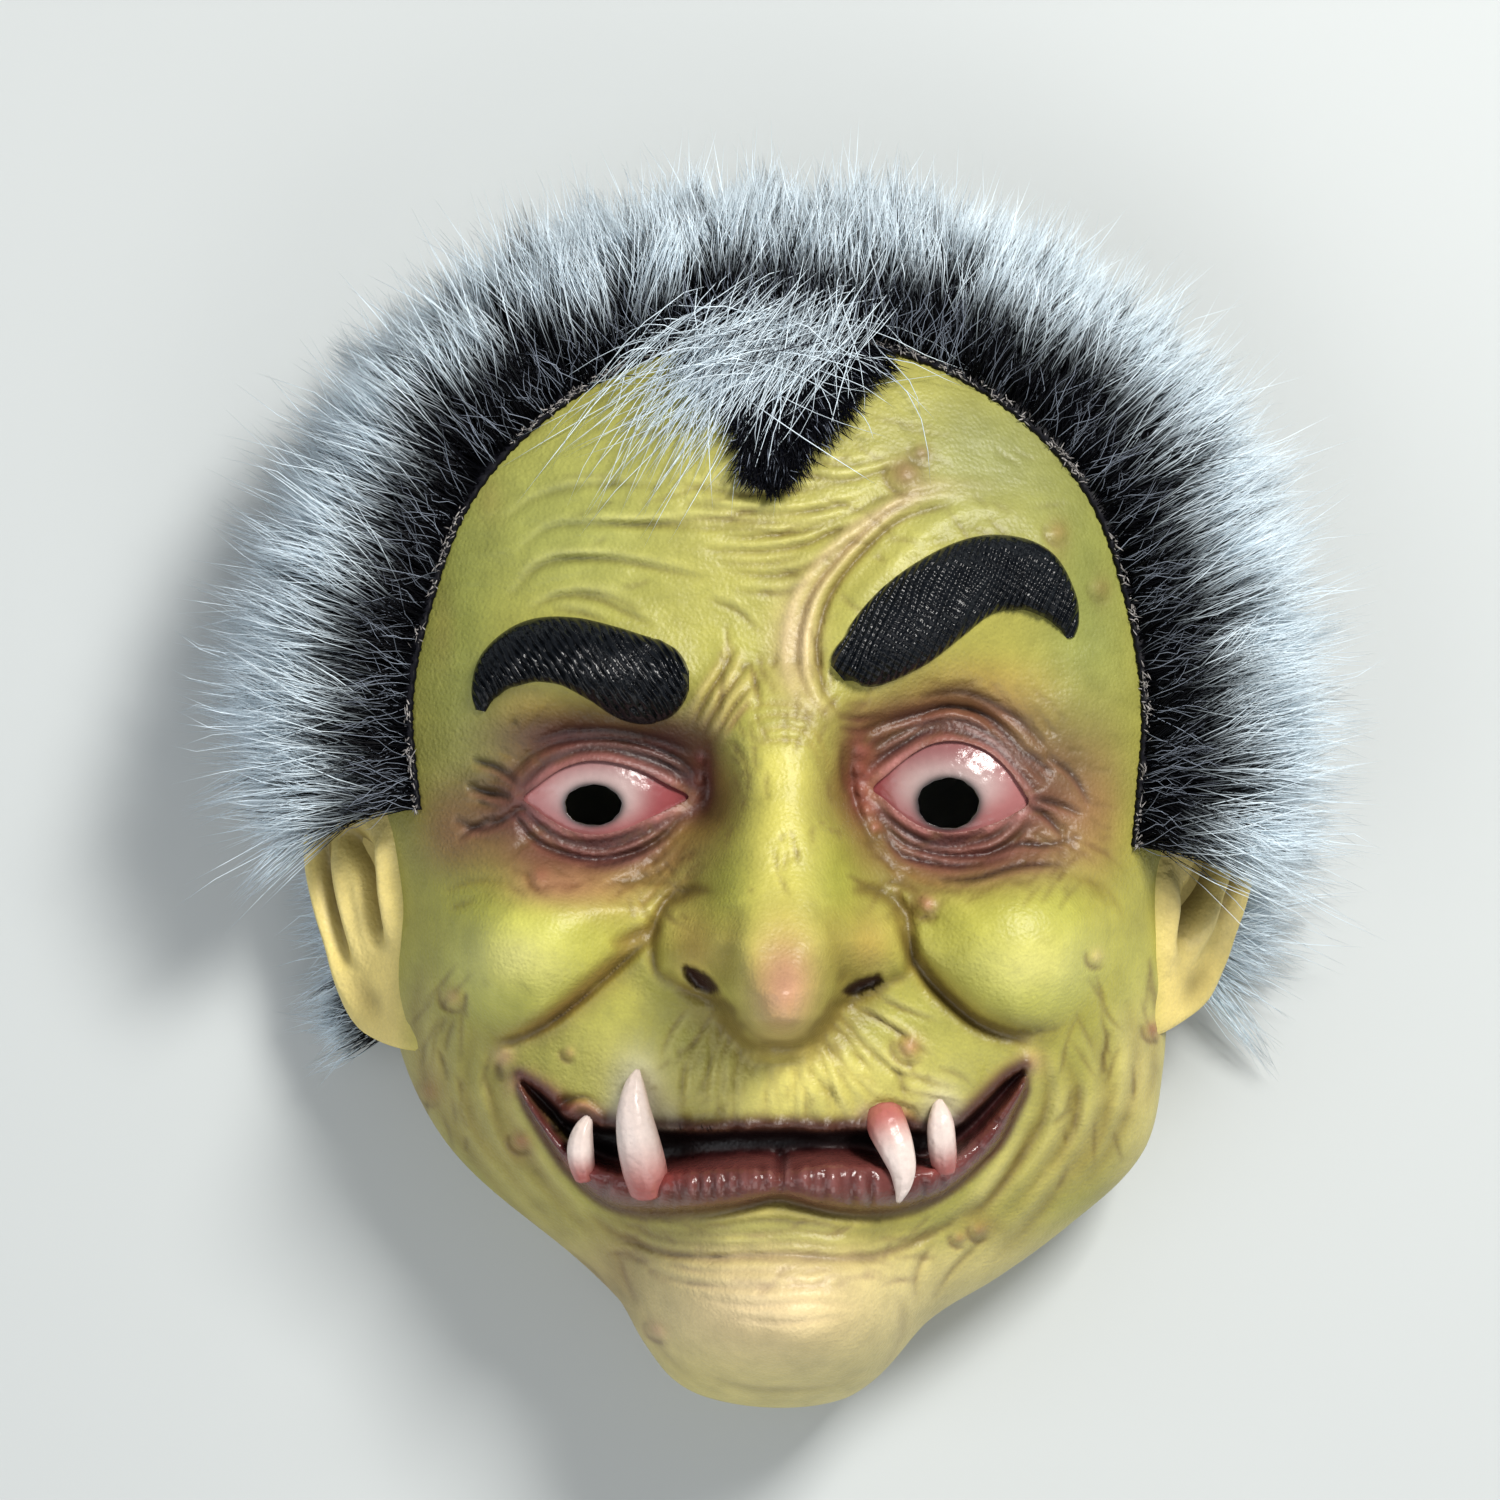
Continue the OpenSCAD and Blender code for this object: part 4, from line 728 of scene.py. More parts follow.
def head_points(u, v, inset=0.0):
    """Places on the moulding for a square grid of u and v from -1 to 1. The square is drawn in to a
    disc by x = u sqrt(1 - v^2 / 2), y = v sqrt(1 - u^2 / 2). Inside 0.86 of the disc lies the face,
    spaced by arc length, and outside it the wall that turns in to the rim."""
    dx, dy = u * np.sqrt(1 - v * v / 2), v * np.sqrt(1 - u * u / 2)
    out, a = np.hypot(dx, dy), np.arctan2(dy, dx)
    radius = outline_r(np.degrees(a))
    t = np.where(out < 0.86, out / 0.86, 1 + (out - 0.86) / 0.14)
    face_t = np.clip(t, 0, 1)
    share = np.where(t <= 1, 1 - (1 - face_t) ** 1.0 * (1 - 0.0), 1 - rim_tuck * (t - 1) ** 2)
    share = np.where(t <= 1, np.interp(face_t, arc_t, arc_share), share)
    x, y = radius * share * np.cos(a), radius * share * np.sin(a)
    plain = widest_z + dome_h * np.clip(1 - share ** dome_m, 0, 1) ** (1 / dome_n)
    shape = sample(form, x, y) if not inset else relief(x, y)
    z = np.where(t <= 1, plain + shape * fade(share), widest_z * (2 - t))
    return np.stack((x, y, z), -1), t


# Share of the radius against arc length along an average rib of the dome.
rib_share = np.sin(np.linspace(0, np.pi / 2, 400)) ** (2 / dome_m)
rib_z = dome_h * np.clip(1 - rib_share**dome_m, 0, 1) ** (1 / dome_n)
rib_length = np.concatenate(([0], np.cumsum(np.hypot(np.diff(rib_share * 108), np.diff(rib_z)))))
arc_t, arc_share = rib_length / rib_length[-1], rib_share


def grid_faces(rows, cols, start=0, turned=False):
    """The quads of a grid of points, as rows of four numbers."""
    i, j = np.meshgrid(np.arange(rows - 1), np.arange(cols - 1), indexing="ij")
    a = (start + i * cols + j).ravel()
    quad = np.stack((a, a + 1, a + cols + 1, a + cols), -1)
    return quad[:, ::-1] if turned else quad


def square(n):
    """A grid of u and v from -1 to 1 with n points a side, v in the rows."""
    s = np.linspace(-1, 1, n)
    u, v = np.meshgrid(s, s)
    return u, v


def border(n, start=0):
    """The indices round the edge of an n by n grid, in order."""
    k = np.arange(n - 1)
    return start + np.concatenate((k, k * n + n - 1, n * n - 1 - k, (n - 1 - k) * n))


outer_n, inner_n = 461, 93
u, v = square(outer_n)
outer, _ = head_points(u, v)
u, v = square(inner_n)
inner, inner_t = head_points(u, v, inset=skin_t)
du, dv = np.gradient(inner, axis=1), np.gradient(inner, axis=0)
normal = np.cross(du, dv)
normal /= np.linalg.norm(normal, axis=-1, keepdims=True) + 1e-9
inner = inner - normal * skin_t
inner[inner_t > 1.999, 2] = 0
# The inside follows the outside loosely: it is kept under the lowest sculpting within 4 mm.
lowest = form * fade(share_at(gx, gy))
for _ in range(8):
    lowest[1:-1] = np.minimum(lowest[1:-1], np.minimum(lowest[:-2], lowest[2:]))
    lowest[:, 1:-1] = np.minimum(lowest[:, 1:-1], np.minimum(lowest[:, :-2], lowest[:, 2:]))
under_z = dome(inner[..., 0], inner[..., 1]) + sample(lowest, inner[..., 0], inner[..., 1]) - 1.8
inner[..., 2] = np.where(inner_t < 0.9, np.minimum(inner[..., 2], under_z), inner[..., 2])
edge_out, edge_in = border(outer_n), border(inner_n, outer_n**2)
rim_faces = []
step = (outer_n - 1) // (inner_n - 1)
count_out, count_in = len(edge_out), len(edge_in)
k_out = np.arange(count_out)
j_in = (k_out * count_in) // count_out
j_next = ((k_out + 1) * count_in // count_out) % count_in
rim = np.stack((edge_out[k_out], edge_in[j_in], edge_out[(k_out + 1) % count_out]), -1)
turn = j_next != j_in
rim_more = np.stack((edge_out[(k_out + 1) % count_out][turn], edge_in[j_in][turn], edge_in[j_next][turn]), -1)
faces = (grid_faces(outer_n, outer_n).tolist() + grid_faces(inner_n, inner_n, outer_n**2, turned=True).tolist()
         + rim.tolist() + rim_more.tolist())
skin = solid_mesh("latex_moulding", np.vstack((outer.reshape(-1, 3), inner.reshape(-1, 3))), faces)
outside_count = (outer_n - 1) ** 2


def made(thing):
    """The mesh with its modifiers carried out, put back in the object with none left."""
    bpy.context.view_layer.update()
    mesh = bpy.data.meshes.new_from_object(thing.evaluated_get(bpy.context.evaluated_depsgraph_get()))
    thing.modifiers.clear()
    thing.data = mesh
    return mesh


def prism(name, points, z0, z1):
    """A closed upright prism over a closed outline."""
    line = closed(points, 0.8)[:, :2]
    n = len(line)
    area = np.sum(line[:, 0] * np.roll(line[:, 1], -1) - line[:, 1] * np.roll(line[:, 0], -1))
    line = line if area > 0 else line[::-1]
    low, high = np.column_stack((line, np.full(n, z0))), np.column_stack((line, np.full(n, z1)))
    k = np.arange(n)
    side = np.stack((k, (k + 1) % n, (k + 1) % n + n, k + n), -1)
    return solid_mesh(name, np.vstack((low, high)), side.tolist() + [k[::-1].tolist(), (k + n).tolist()], smooth=False)


# The inner wall gets its own painted finish, so it has the second material slot.
skin.data.materials.append(bpy.data.materials.new("first_coat"))
skin.data.materials.append(bpy.data.materials.new("first_lining"))
slots = np.zeros(len(skin.data.polygons), np.int32)
slots[outside_count:outside_count + (inner_n - 1) ** 2] = 1
skin.data.polygons.foreach_set("material_index", slots)
# The plain parts are thinned out and the parts with fine modelling keep all of their faces.
spots = outer.reshape(-1, 3)
fine = np.zeros(len(spots))
for x, y, sx, sy in ((-40, 2, 25, 17), (37, 3, 25, 18), (-2, -76, 62, 16), (4, 42, 22, 22), (0, -36, 27, 16), (0, -58, 30, 8)):
    fine = np.maximum(fine, np.exp(-((((spots[:, 0] - x) / sx) ** 2 + ((spots[:, 1] - y) / sy) ** 2) ** 2)))
ease = skin.vertex_groups.new(name="plain_parts")
for level in range(11):
    chosen = np.flatnonzero(np.round((1 - fine) * 10) == level)
    if level and len(chosen):
        ease.add(chosen.tolist(), level / 10, "REPLACE")
ease.add(range(len(spots), len(skin.data.vertices)), 1.0, "REPLACE")
thin = skin.modifiers.new("thin_out", "DECIMATE")
thin.ratio, thin.vertex_group = 0.43, "plain_parts"
made(skin)
for opening in (left_opening, right_opening):
    cutter = prism("eye_cutter", opening, 40, 110)
    cut = skin.modifiers.new("eye_opening", "BOOLEAN")
    cut.operation, cut.object, cut.solver = "DIFFERENCE", cutter, "MANIFOLD"
    made(skin)
    bpy.data.objects.remove(cutter)
skin.data.shade_smooth()


def dab(thing, colours, shine):
    """Stores paint (linear colour, with the gloss in its fourth number) at each vertex."""
    layer = thing.data.attributes.get("paint") or thing.data.attributes.new("paint", "FLOAT_COLOR", "POINT")
    layer.data.foreach_set("color", np.column_stack((colours, shine)).astype(np.float32).ravel())


def vertices(thing):
    """The mesh's points in millimetres."""
    co = np.empty(len(thing.data.vertices) * 3)
    thing.data.vertices.foreach_get("co", co)
    return co.reshape(-1, 3) / MM


co = vertices(skin)
dab(skin, sample(paint, co[:, 0], co[:, 1]), sample(gloss, co[:, 0], co[:, 1]))


def painted(name, scale, bump, wear, rough, rough_gloss):
    """Hand-sprayed paint on rubber: the stored colour, mottled by noise, with a fine skin-like bump;
    the gloss mask blends the two roughnesses."""
    material, shader = new_finish(name, Roughness=rough, Specular_IOR_Level=0.45)
    place = finish_node(material, "ShaderNodeTexCoord").outputs["Object"]
    coat = finish_node(material, "ShaderNodeAttribute", attribute_name="paint")
    mottle = finish_node(material, "ShaderNodeTexNoise", Vector=place, Scale=scale, Detail=6.0, Roughness=0.62)
    spray = finish_node(material, "ShaderNodeTexNoise", Vector=place, Scale=scale * 14, Detail=3.0)
    shade = finish_node(material, "ShaderNodeMapRange", Value=mottle.outputs["Fac"], i1=0.32, i2=0.7, i3=1 - wear, i4=1 + wear * 0.6)
    speck = finish_node(material, "ShaderNodeMapRange", Value=spray.outputs["Fac"], i1=0.3, i2=0.7, i3=1 - wear * 0.45, i4=1 + wear * 0.3)
    both = finish_node(material, "ShaderNodeMath", operation="MULTIPLY", i0=shade.outputs[0], i1=speck.outputs[0])
    toned = finish_node(material, "ShaderNodeVectorMath", operation="SCALE", i0=coat.outputs["Color"], Scale=both.outputs[0])
    connect(material, toned.outputs[0], shader.inputs["Base Color"])
    dull = finish_node(material, "ShaderNodeMapRange", Value=coat.outputs["Alpha"], i1=0.0, i2=1.0, i3=rough, i4=rough_gloss)
    connect(material, dull.outputs[0], shader.inputs["Roughness"])
    pore = finish_node(material, "ShaderNodeTexVoronoi", Vector=place, Scale=scale * 9, feature="SMOOTH_F1")
    crinkle = finish_node(material, "ShaderNodeTexNoise", Vector=place, Scale=scale * 5, Detail=5.0, Roughness=0.7)
    height = finish_node(material, "ShaderNodeMath", operation="MULTIPLY_ADD", i0=crinkle.outputs["Fac"], i1=0.9, i2=pore.outputs["Distance"])
    relief_node = finish_node(material, "ShaderNodeBump", Height=height.outputs[0], Distance=bump, Strength=0.6)
    connect(material, relief_node.outputs[0], shader.inputs["Normal"])
    return material


latex_paint = painted("latex_paint", 130, 0.00024, 0.14, 0.45, 0.16)
raw_latex, raw_shader = new_finish("raw_latex", Roughness=0.55, Subsurface_Weight=0.0)
place = finish_node(raw_latex, "ShaderNodeTexCoord").outputs["Object"]
cloud = finish_node(raw_latex, "ShaderNodeTexNoise", Vector=place, Scale=22.0, Detail=5.0)
film = finish_node(raw_latex, "ShaderNodeMix", data_type="RGBA", Factor=cloud.outputs["Fac"], i6=(0.50, 0.43, 0.22, 1), i7=(0.66, 0.58, 0.36, 1))
connect(raw_latex, film.outputs[2], raw_shader.inputs["Base Color"])
runs = finish_node(raw_latex, "ShaderNodeTexNoise", Vector=place, Scale=160.0, Detail=4.0)
dimple = finish_node(raw_latex, "ShaderNodeBump", Height=runs.outputs["Fac"], Distance=0.0008, Strength=0.5)
connect(raw_latex, dimple.outputs[0], raw_shader.inputs["Normal"])
skin.data.materials[0], skin.data.materials[1] = latex_paint, raw_latex
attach(skin, "mask")
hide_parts("latex_skin")


# ---------------------------------------------------------------------------------------------------
# The ears: two latex ears moulded with the face and standing out behind the jaw, paler than it, with
# a rolled rim, a bowl darkened with painted shade, ridges lightened with painted highlight, and a lobe. Each is a
# closed plate in its own sloping plane.
ear_root_x, ear_root_z, ear_tilt, ear_t = 82.5, 42.0, math.radians(45), 5.0


def fast_mesh(name, points, quads, triangles=None):
    """A mesh object from whole arrays of points in millimetres, quads and triangles."""
    points = np.asarray(points, np.float32).reshape(-1, 3) * MM
    quads = np.asarray(quads, np.int32).reshape(-1, 4)
    triangles = np.zeros((0, 3), np.int32) if triangles is None else np.asarray(triangles, np.int32).reshape(-1, 3)
    mesh = bpy.data.meshes.new(name)
    mesh.vertices.add(len(points))
    mesh.vertices.foreach_set("co", points.ravel())
    corners = np.concatenate((quads.ravel(), triangles.ravel()))
    sizes = np.concatenate((np.full(len(quads), 4), np.full(len(triangles), 3)))
    mesh.loops.add(len(corners))
    mesh.loops.foreach_set("vertex_index", corners)
    mesh.polygons.add(len(sizes))
    mesh.polygons.foreach_set("loop_start", np.concatenate(([0], np.cumsum(sizes)[:-1])).astype(np.int32))
    mesh.update(calc_edges=True)
    mesh.validate()
    mesh.shade_smooth()
    thing = bpy.data.objects.new(name, mesh)
    bpy.context.collection.objects.link(thing)
    return thing


def lens(rings, around):
    """Faces of a closed lens: a pole, rings of points going out over the front, the same number
    coming in over the back, and a second pole."""
    quads, triangles = [], []
    k = np.arange(around)
    nxt = (k + 1) % around
    triangles.append(np.stack((np.zeros(around, int), 1 + k, 1 + nxt), -1))
    for r in range(rings - 1):
        a = 1 + r * around
        quads.append(np.stack((a + k, a + around + k, a + around + nxt, a + nxt), -1))
    last = 1 + (rings - 1) * around
    triangles.append(np.stack((last + k, np.full(around, last + around), last + nxt), -1))
    return np.vstack(quads), np.vstack(triangles)


def wall_radius(x, y, z):
    """The head's radius towards a place, at a height."""
    radius = outline_r(np.degrees(np.arctan2(y, x)))
    low = 1 - rim_tuck * np.clip(1 - z / widest_z, 0, 1) ** 2
    high = np.clip(1 - np.clip((z - widest_z) / dome_h, 0, 1) ** dome_n, 0, 1) ** (1 / dome_m)
    return radius * np.where(z < widest_z, low, high)


ear_shapes = {
    -1: dict(outline=[(77, -52), (80, -55.5), (86, -55.5), (92, -53.6), (96.4, -50.4), (99.4, -44), (101.6, -34), (104, -25), (106.2, -14), (106.4, -4),
                      (104, 5), (99, 10), (92, 12), (84, 10), (78, 4), (76, -14), (75, -34)],
             ridges=[([(104.6, -2), (105, -13), (102.6, -25), (100.6, -35), (97.6, -45)], 2.4, 2.8),
                     ([(88, -8), (88.6, -16), (87.4, -24), (86.6, -32)], 2.2, 3.4),
                     ([(99.6, -12), (98, -20), (96, -28), (94, -36)], 1.7, 2.0),
                     ([(94.6, -17), (93, -25), (91.6, -33)], 1.5, 1.7), ([(103, 4), (97, 8), (90, 8)], 2.4, 2.0)],
             hollows=[([(98.6, -6), (95, -10), (92, -15), (91, -22), (90, -30)], 2.3, -5.5), ([(102, -6), (101.6, -15), (99.4, -26), (97, -36)], 1.4, -2.8),
                      ([(94, -42), (91, -47)], 2.5, -1.0)]),
    1: dict(outline=[(77, -50), (80, -53), (86, -52.4), (92, -49.4), (97, -45.4), (100, -39), (101.8, -32), (104, -25), (106, -17), (107, -8), (106, 3),
                     (104, 11), (100, 14.6), (93, 15), (85, 12), (78, 4), (76, -14), (75, -34)],
            ridges=[([(104.4, 8), (105.4, -4), (104.6, -14), (102.4, -24), (99.6, -34), (96, -42)], 2.3, 2.8),
                    ([(85.6, -16), (86.6, -23), (86.6, -31), (86, -37)], 2.4, 3.6),
                    ([(101, -4), (100.6, -12), (98.6, -20), (95.6, -26), (92, -33)], 1.7, 2.2),
                    ([(97, -24), (94, -31), (91, -37)], 1.6, 1.5), ([(103, 11), (97, 12.6), (90, 12)], 2.2, 1.8)],
            hollows=[([(98, -4), (97, -11), (95.4, -18), (91.6, -24), (88.6, -31)], 2.2, -5.2), ([(103, 0), (102.8, -9), (101, -18), (97.6, -27)], 1.2, -2.4),
                     ([(96, -38), (92, -44)], 2.5, -1.0)])}
for side, shape in ear_shapes.items():
    rings, around = 46, 150
    line = closed(shape["outline"], 0.4)[:, :2]
    centre = np.array((91.0, -20.0))
    bearing = np.unwrap(np.arctan2(line[:, 1] - centre[1], line[:, 0] - centre[0]))
    order = np.argsort(bearing % (2 * np.pi))
    reach = np.hypot(*(line - centre).T)
    theta = np.linspace(0, 2 * np.pi, around, endpoint=False)
    edge = np.interp(theta, (bearing % (2 * np.pi))[order], reach[order], period=2 * np.pi)
    out = np.concatenate((np.linspace(0.03, 1, rings) ** 0.8,))
    front = centre + out[:, None, None] * edge[None, :, None] * np.stack((np.cos(theta), np.sin(theta)), -1)[None]
    height = 1.9 * np.sqrt(np.clip(1 - out**8, 0, 1))[:, None] + 0 * front[..., 0]
    shade_ear = np.zeros(front.shape[:2])
    for group in ("ridges", "hollows"):
        for points, width, rise in shape[group]:
            path = curve(points, 0.5)
            d = np.sqrt(((front[:, :, None, :] - path[None, None, :, :2]) ** 2).sum(-1))
            row = d.argmin(-1)
            run_out = np.clip(np.sin(np.pi * (row + 1.5) / (len(path) + 2)), 0, 1) ** 0.5
            profile = np.exp(-((d.min(-1) / width) ** 2)) * run_out * np.clip((1 - out[:, None]) * 8, 0, 1) ** 0.5
            height += rise * profile
            shade_ear += profile * (0.9 if rise < -2 else 0.4 if rise < 0 else -0.35)
    back_rings = rings
    back_out = out[::-1]
    back = centre + back_out[:, None, None] * edge[None, :, None] * np.stack((np.cos(theta), np.sin(theta)), -1)[None]
    back_height = -1.9 * np.sqrt(np.clip(1 - back_out**6, 0, 1))[:, None] - 1.4 + 0 * back[..., 0]
    height = height - 1.4
    flat = np.concatenate((front, back))
    lift = np.concatenate((height, back_height))
    pole_front = np.append(centre, height[0].mean())[None]
    pole_back = np.append(centre, back_height[-1].mean())[None]
    local = np.vstack((pole_front, np.dstack((flat, lift)).reshape(-1, 3), pole_back))
    bend = 0.010 * (local[:, 0] - ear_root_x) ** 2 * 0.35
    across_ear, up = local[:, 0] - ear_root_x, local[:, 2] + bend - 1.0
    x = ear_root_x + across_ear + up * math.sin(ear_tilt)
    y = local[:, 1]
    z = ear_root_z - across_ear * math.tan(ear_tilt) + up * math.cos(ear_tilt)
    r, limit = np.hypot(x, y), wall_radius(side * x, y, z) - 0.7
    push = np.where(r < limit, limit / np.maximum(r, 1), 1)
    points = np.column_stack((side * x * push, y * push, np.clip(z, 2, None)))
    quads, triangles = lens(2 * rings, around)
    if side > 0:
        quads, triangles = quads[:, ::-1], triangles[:, ::-1]
    ear = fast_mesh("latex_ear_left" if side < 0 else "latex_ear_right", points, quads[:, ::-1], triangles[:, ::-1])
    # Hollows are darkened as painted shade and ridges lightened as painted highlight; the back is a little darker all
    # over, and the root takes the face's olive.
    shade = np.concatenate(([shade_ear[0].mean()], shade_ear.ravel(), np.full((rings) * around, 0.15), [0.15]))[:, None]
    base = srgb(216, 196, 118)[None] * (1 - 0) + 0 * points
    near_head = smooth((ear_root_x + 5 - np.abs(points[:, 0])) / 9)[:, None]
    base = base * (1 - near_head) + srgb(182, 172, 82) * near_head
    dark = np.clip(shade, 0, 1) ** 0.8
    base = base * (1 - dark) + srgb(96, 78, 34) * dark
    light = np.clip(-shade, 0, 1)
    base = base * (1 - light) + srgb(228, 212, 146) * light
    dab(ear, base, np.zeros(len(base)))
    ear.data.materials.append(latex_paint)
    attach(ear, "mask")
    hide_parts("ear_left" if side < 0 else "ear_right")


# ---------------------------------------------------------------------------------------------------
# The brows: thick raised eyebrows, sculpted as clumps of combed hair and painted glossy black. Each
# is a closed strip along its own middle line whose half widths are the third number of each row.
def skin_height(x, y):
    """The painted skin's height over a place on the face."""
    return dome(x, y) + sample(form, x, y) * fade(share_at(x, y))


brow_lines = {
    "left": ([(-65.6, 19.6, 1.2), (-64.6, 24, 3.2), (-61, 29, 5.4), (-54, 32.5, 6.9), (-46, 32.4, 7.6), (-38, 29.6, 8.6), (-31, 26.4, 9.6),
              (-26.6, 26.0, 9.0), (-23, 26.0, 7.2), (-20.8, 26.0, 4.6), (-19.8, 26.0, 2.0)], -58.0),
    "right": ([(12.4, 27.6, 2.2), (14.6, 29.4, 4.8), (19, 31.6, 7.4), (26, 37.0, 9.4), (33, 42.6, 9.6), (41, 47.8, 8.9), (48, 49.6, 8.4), (55, 48.2, 7.6),
               (60.4, 43.6, 5.0), (63, 39, 2.8), (63.6, 35.6, 1.0)], -116.0)}
gloss_black, black_shader = new_finish("brow_enamel", Roughness=0.24, Specular_IOR_Level=0.22)
place = finish_node(gloss_black, "ShaderNodeTexCoord").outputs["Object"]
blot = finish_node(gloss_black, "ShaderNodeTexNoise", Vector=place, Scale=260.0, Detail=5.0)
ink = finish_node(gloss_black, "ShaderNodeMix", data_type="RGBA", Factor=blot.outputs["Fac"], i6=(0.0015, 0.002, 0.003, 1), i7=(0.005, 0.007, 0.010, 1))
connect(gloss_black, ink.outputs[2], black_shader.inputs["Base Color"])
sheen = finish_node(gloss_black, "ShaderNodeMapRange", Value=blot.outputs["Fac"], i1=0.3, i2=0.7, i3=0.16, i4=0.30)
connect(gloss_black, sheen.outputs[0], black_shader.inputs["Roughness"])
bead = finish_node(gloss_black, "ShaderNodeTexNoise", Vector=place, Scale=900.0, Detail=3.0)
bump = finish_node(gloss_black, "ShaderNodeBump", Height=bead.outputs["Fac"], Distance=0.00015, Strength=0.5)
connect(gloss_black, bump.outputs[0], black_shader.inputs["Normal"])


def clumps(x, y, turn, pitch, seed):
    """Combed hair: a sine across the hair's direction, bent by slow noise, with a finer one inside."""
    c, s = math.cos(math.radians(turn)), math.sin(math.radians(turn))
    along, cross = x * c + y * s, y * c - x * s
    table = np.random.default_rng(seed).uniform(-1, 1, (64, 64))
    i, j = along / 8 + 30, cross / 3 + 30
    p, q = np.floor(i).astype(int) % 63, np.floor(j).astype(int) % 63
    f, g = smooth(i - np.floor(i)), smooth(j - np.floor(j))
    slow = (table[q, p] * (1 - f) + table[q, p + 1] * f) * (1 - g) + (table[q + 1, p] * (1 - f) + table[q + 1, p + 1] * f) * g
    return (np.abs(np.sin(np.pi * (cross / pitch + 0.55 * slow))) ** 0.8 * 0.8
            + 0.35 * np.abs(np.sin(np.pi * (cross / (pitch * 0.45) + 0.8 * slow))) + 0.2 * slow)


for name, (rows, comb) in brow_lines.items():
    line = curve(rows, 0.28)
    n, m = len(line), 61
    tangent = np.gradient(line[:, :2], axis=0)
    tangent /= np.linalg.norm(tangent, axis=1, keepdims=True)
    side_way = np.column_stack((-tangent[:, 1], tangent[:, 0]))
    q = np.sin(np.linspace(-np.pi / 2, np.pi / 2, m))
    xy = line[:, None, :2] + side_way[:, None, :] * (q[None, :, None] * line[:, None, 2:3])
    x, y = xy[..., 0], xy[..., 1]
    ragged = 1 + 0.05 * np.sin(x * 2.1 + y * 3.3)
    body = np.sqrt(np.clip(1 - q**2, 0, 1))[None] ** 0.8 * np.clip(line[:, 2:3] / 5, 0.25, 1)
    z = skin_height(x, y) - 0.5 + 3.6 * body * ragged + 1.5 * clumps(x, y, comb, 1.5, 41) * np.clip(body * 1.6, 0, 1)
    top = np.dstack((x, y, z)).reshape(-1, 3)
    under = np.dstack((x, y, skin_height(x, y) - 1.4)).reshape(-1, 3)
    quads = np.vstack((grid_faces(n, m, turned=True), grid_faces(n, m, n * m)))
    i = np.arange(n - 1)
    j = np.arange(m - 1)
    low, high = i * m, i * m + m - 1
    near_end, far_end = j, (n - 1) * m + j
    rims = np.vstack((np.stack((low, low + m, low + m + n * m, low + n * m), -1), np.stack((high + m, high, high + n * m, high + m + n * m), -1),
                      np.stack((near_end + 1, near_end, near_end + n * m, near_end + 1 + n * m), -1),
                      np.stack((far_end, far_end + 1, far_end + 1 + n * m, far_end + n * m), -1)))
    brow = fast_mesh(f"brow_hair_{name}", np.vstack((top, under)), np.vstack((quads, rims)))
    brow.data.materials.append(gloss_black)
    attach(brow, "mask")
    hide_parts(f"brow_{name}")


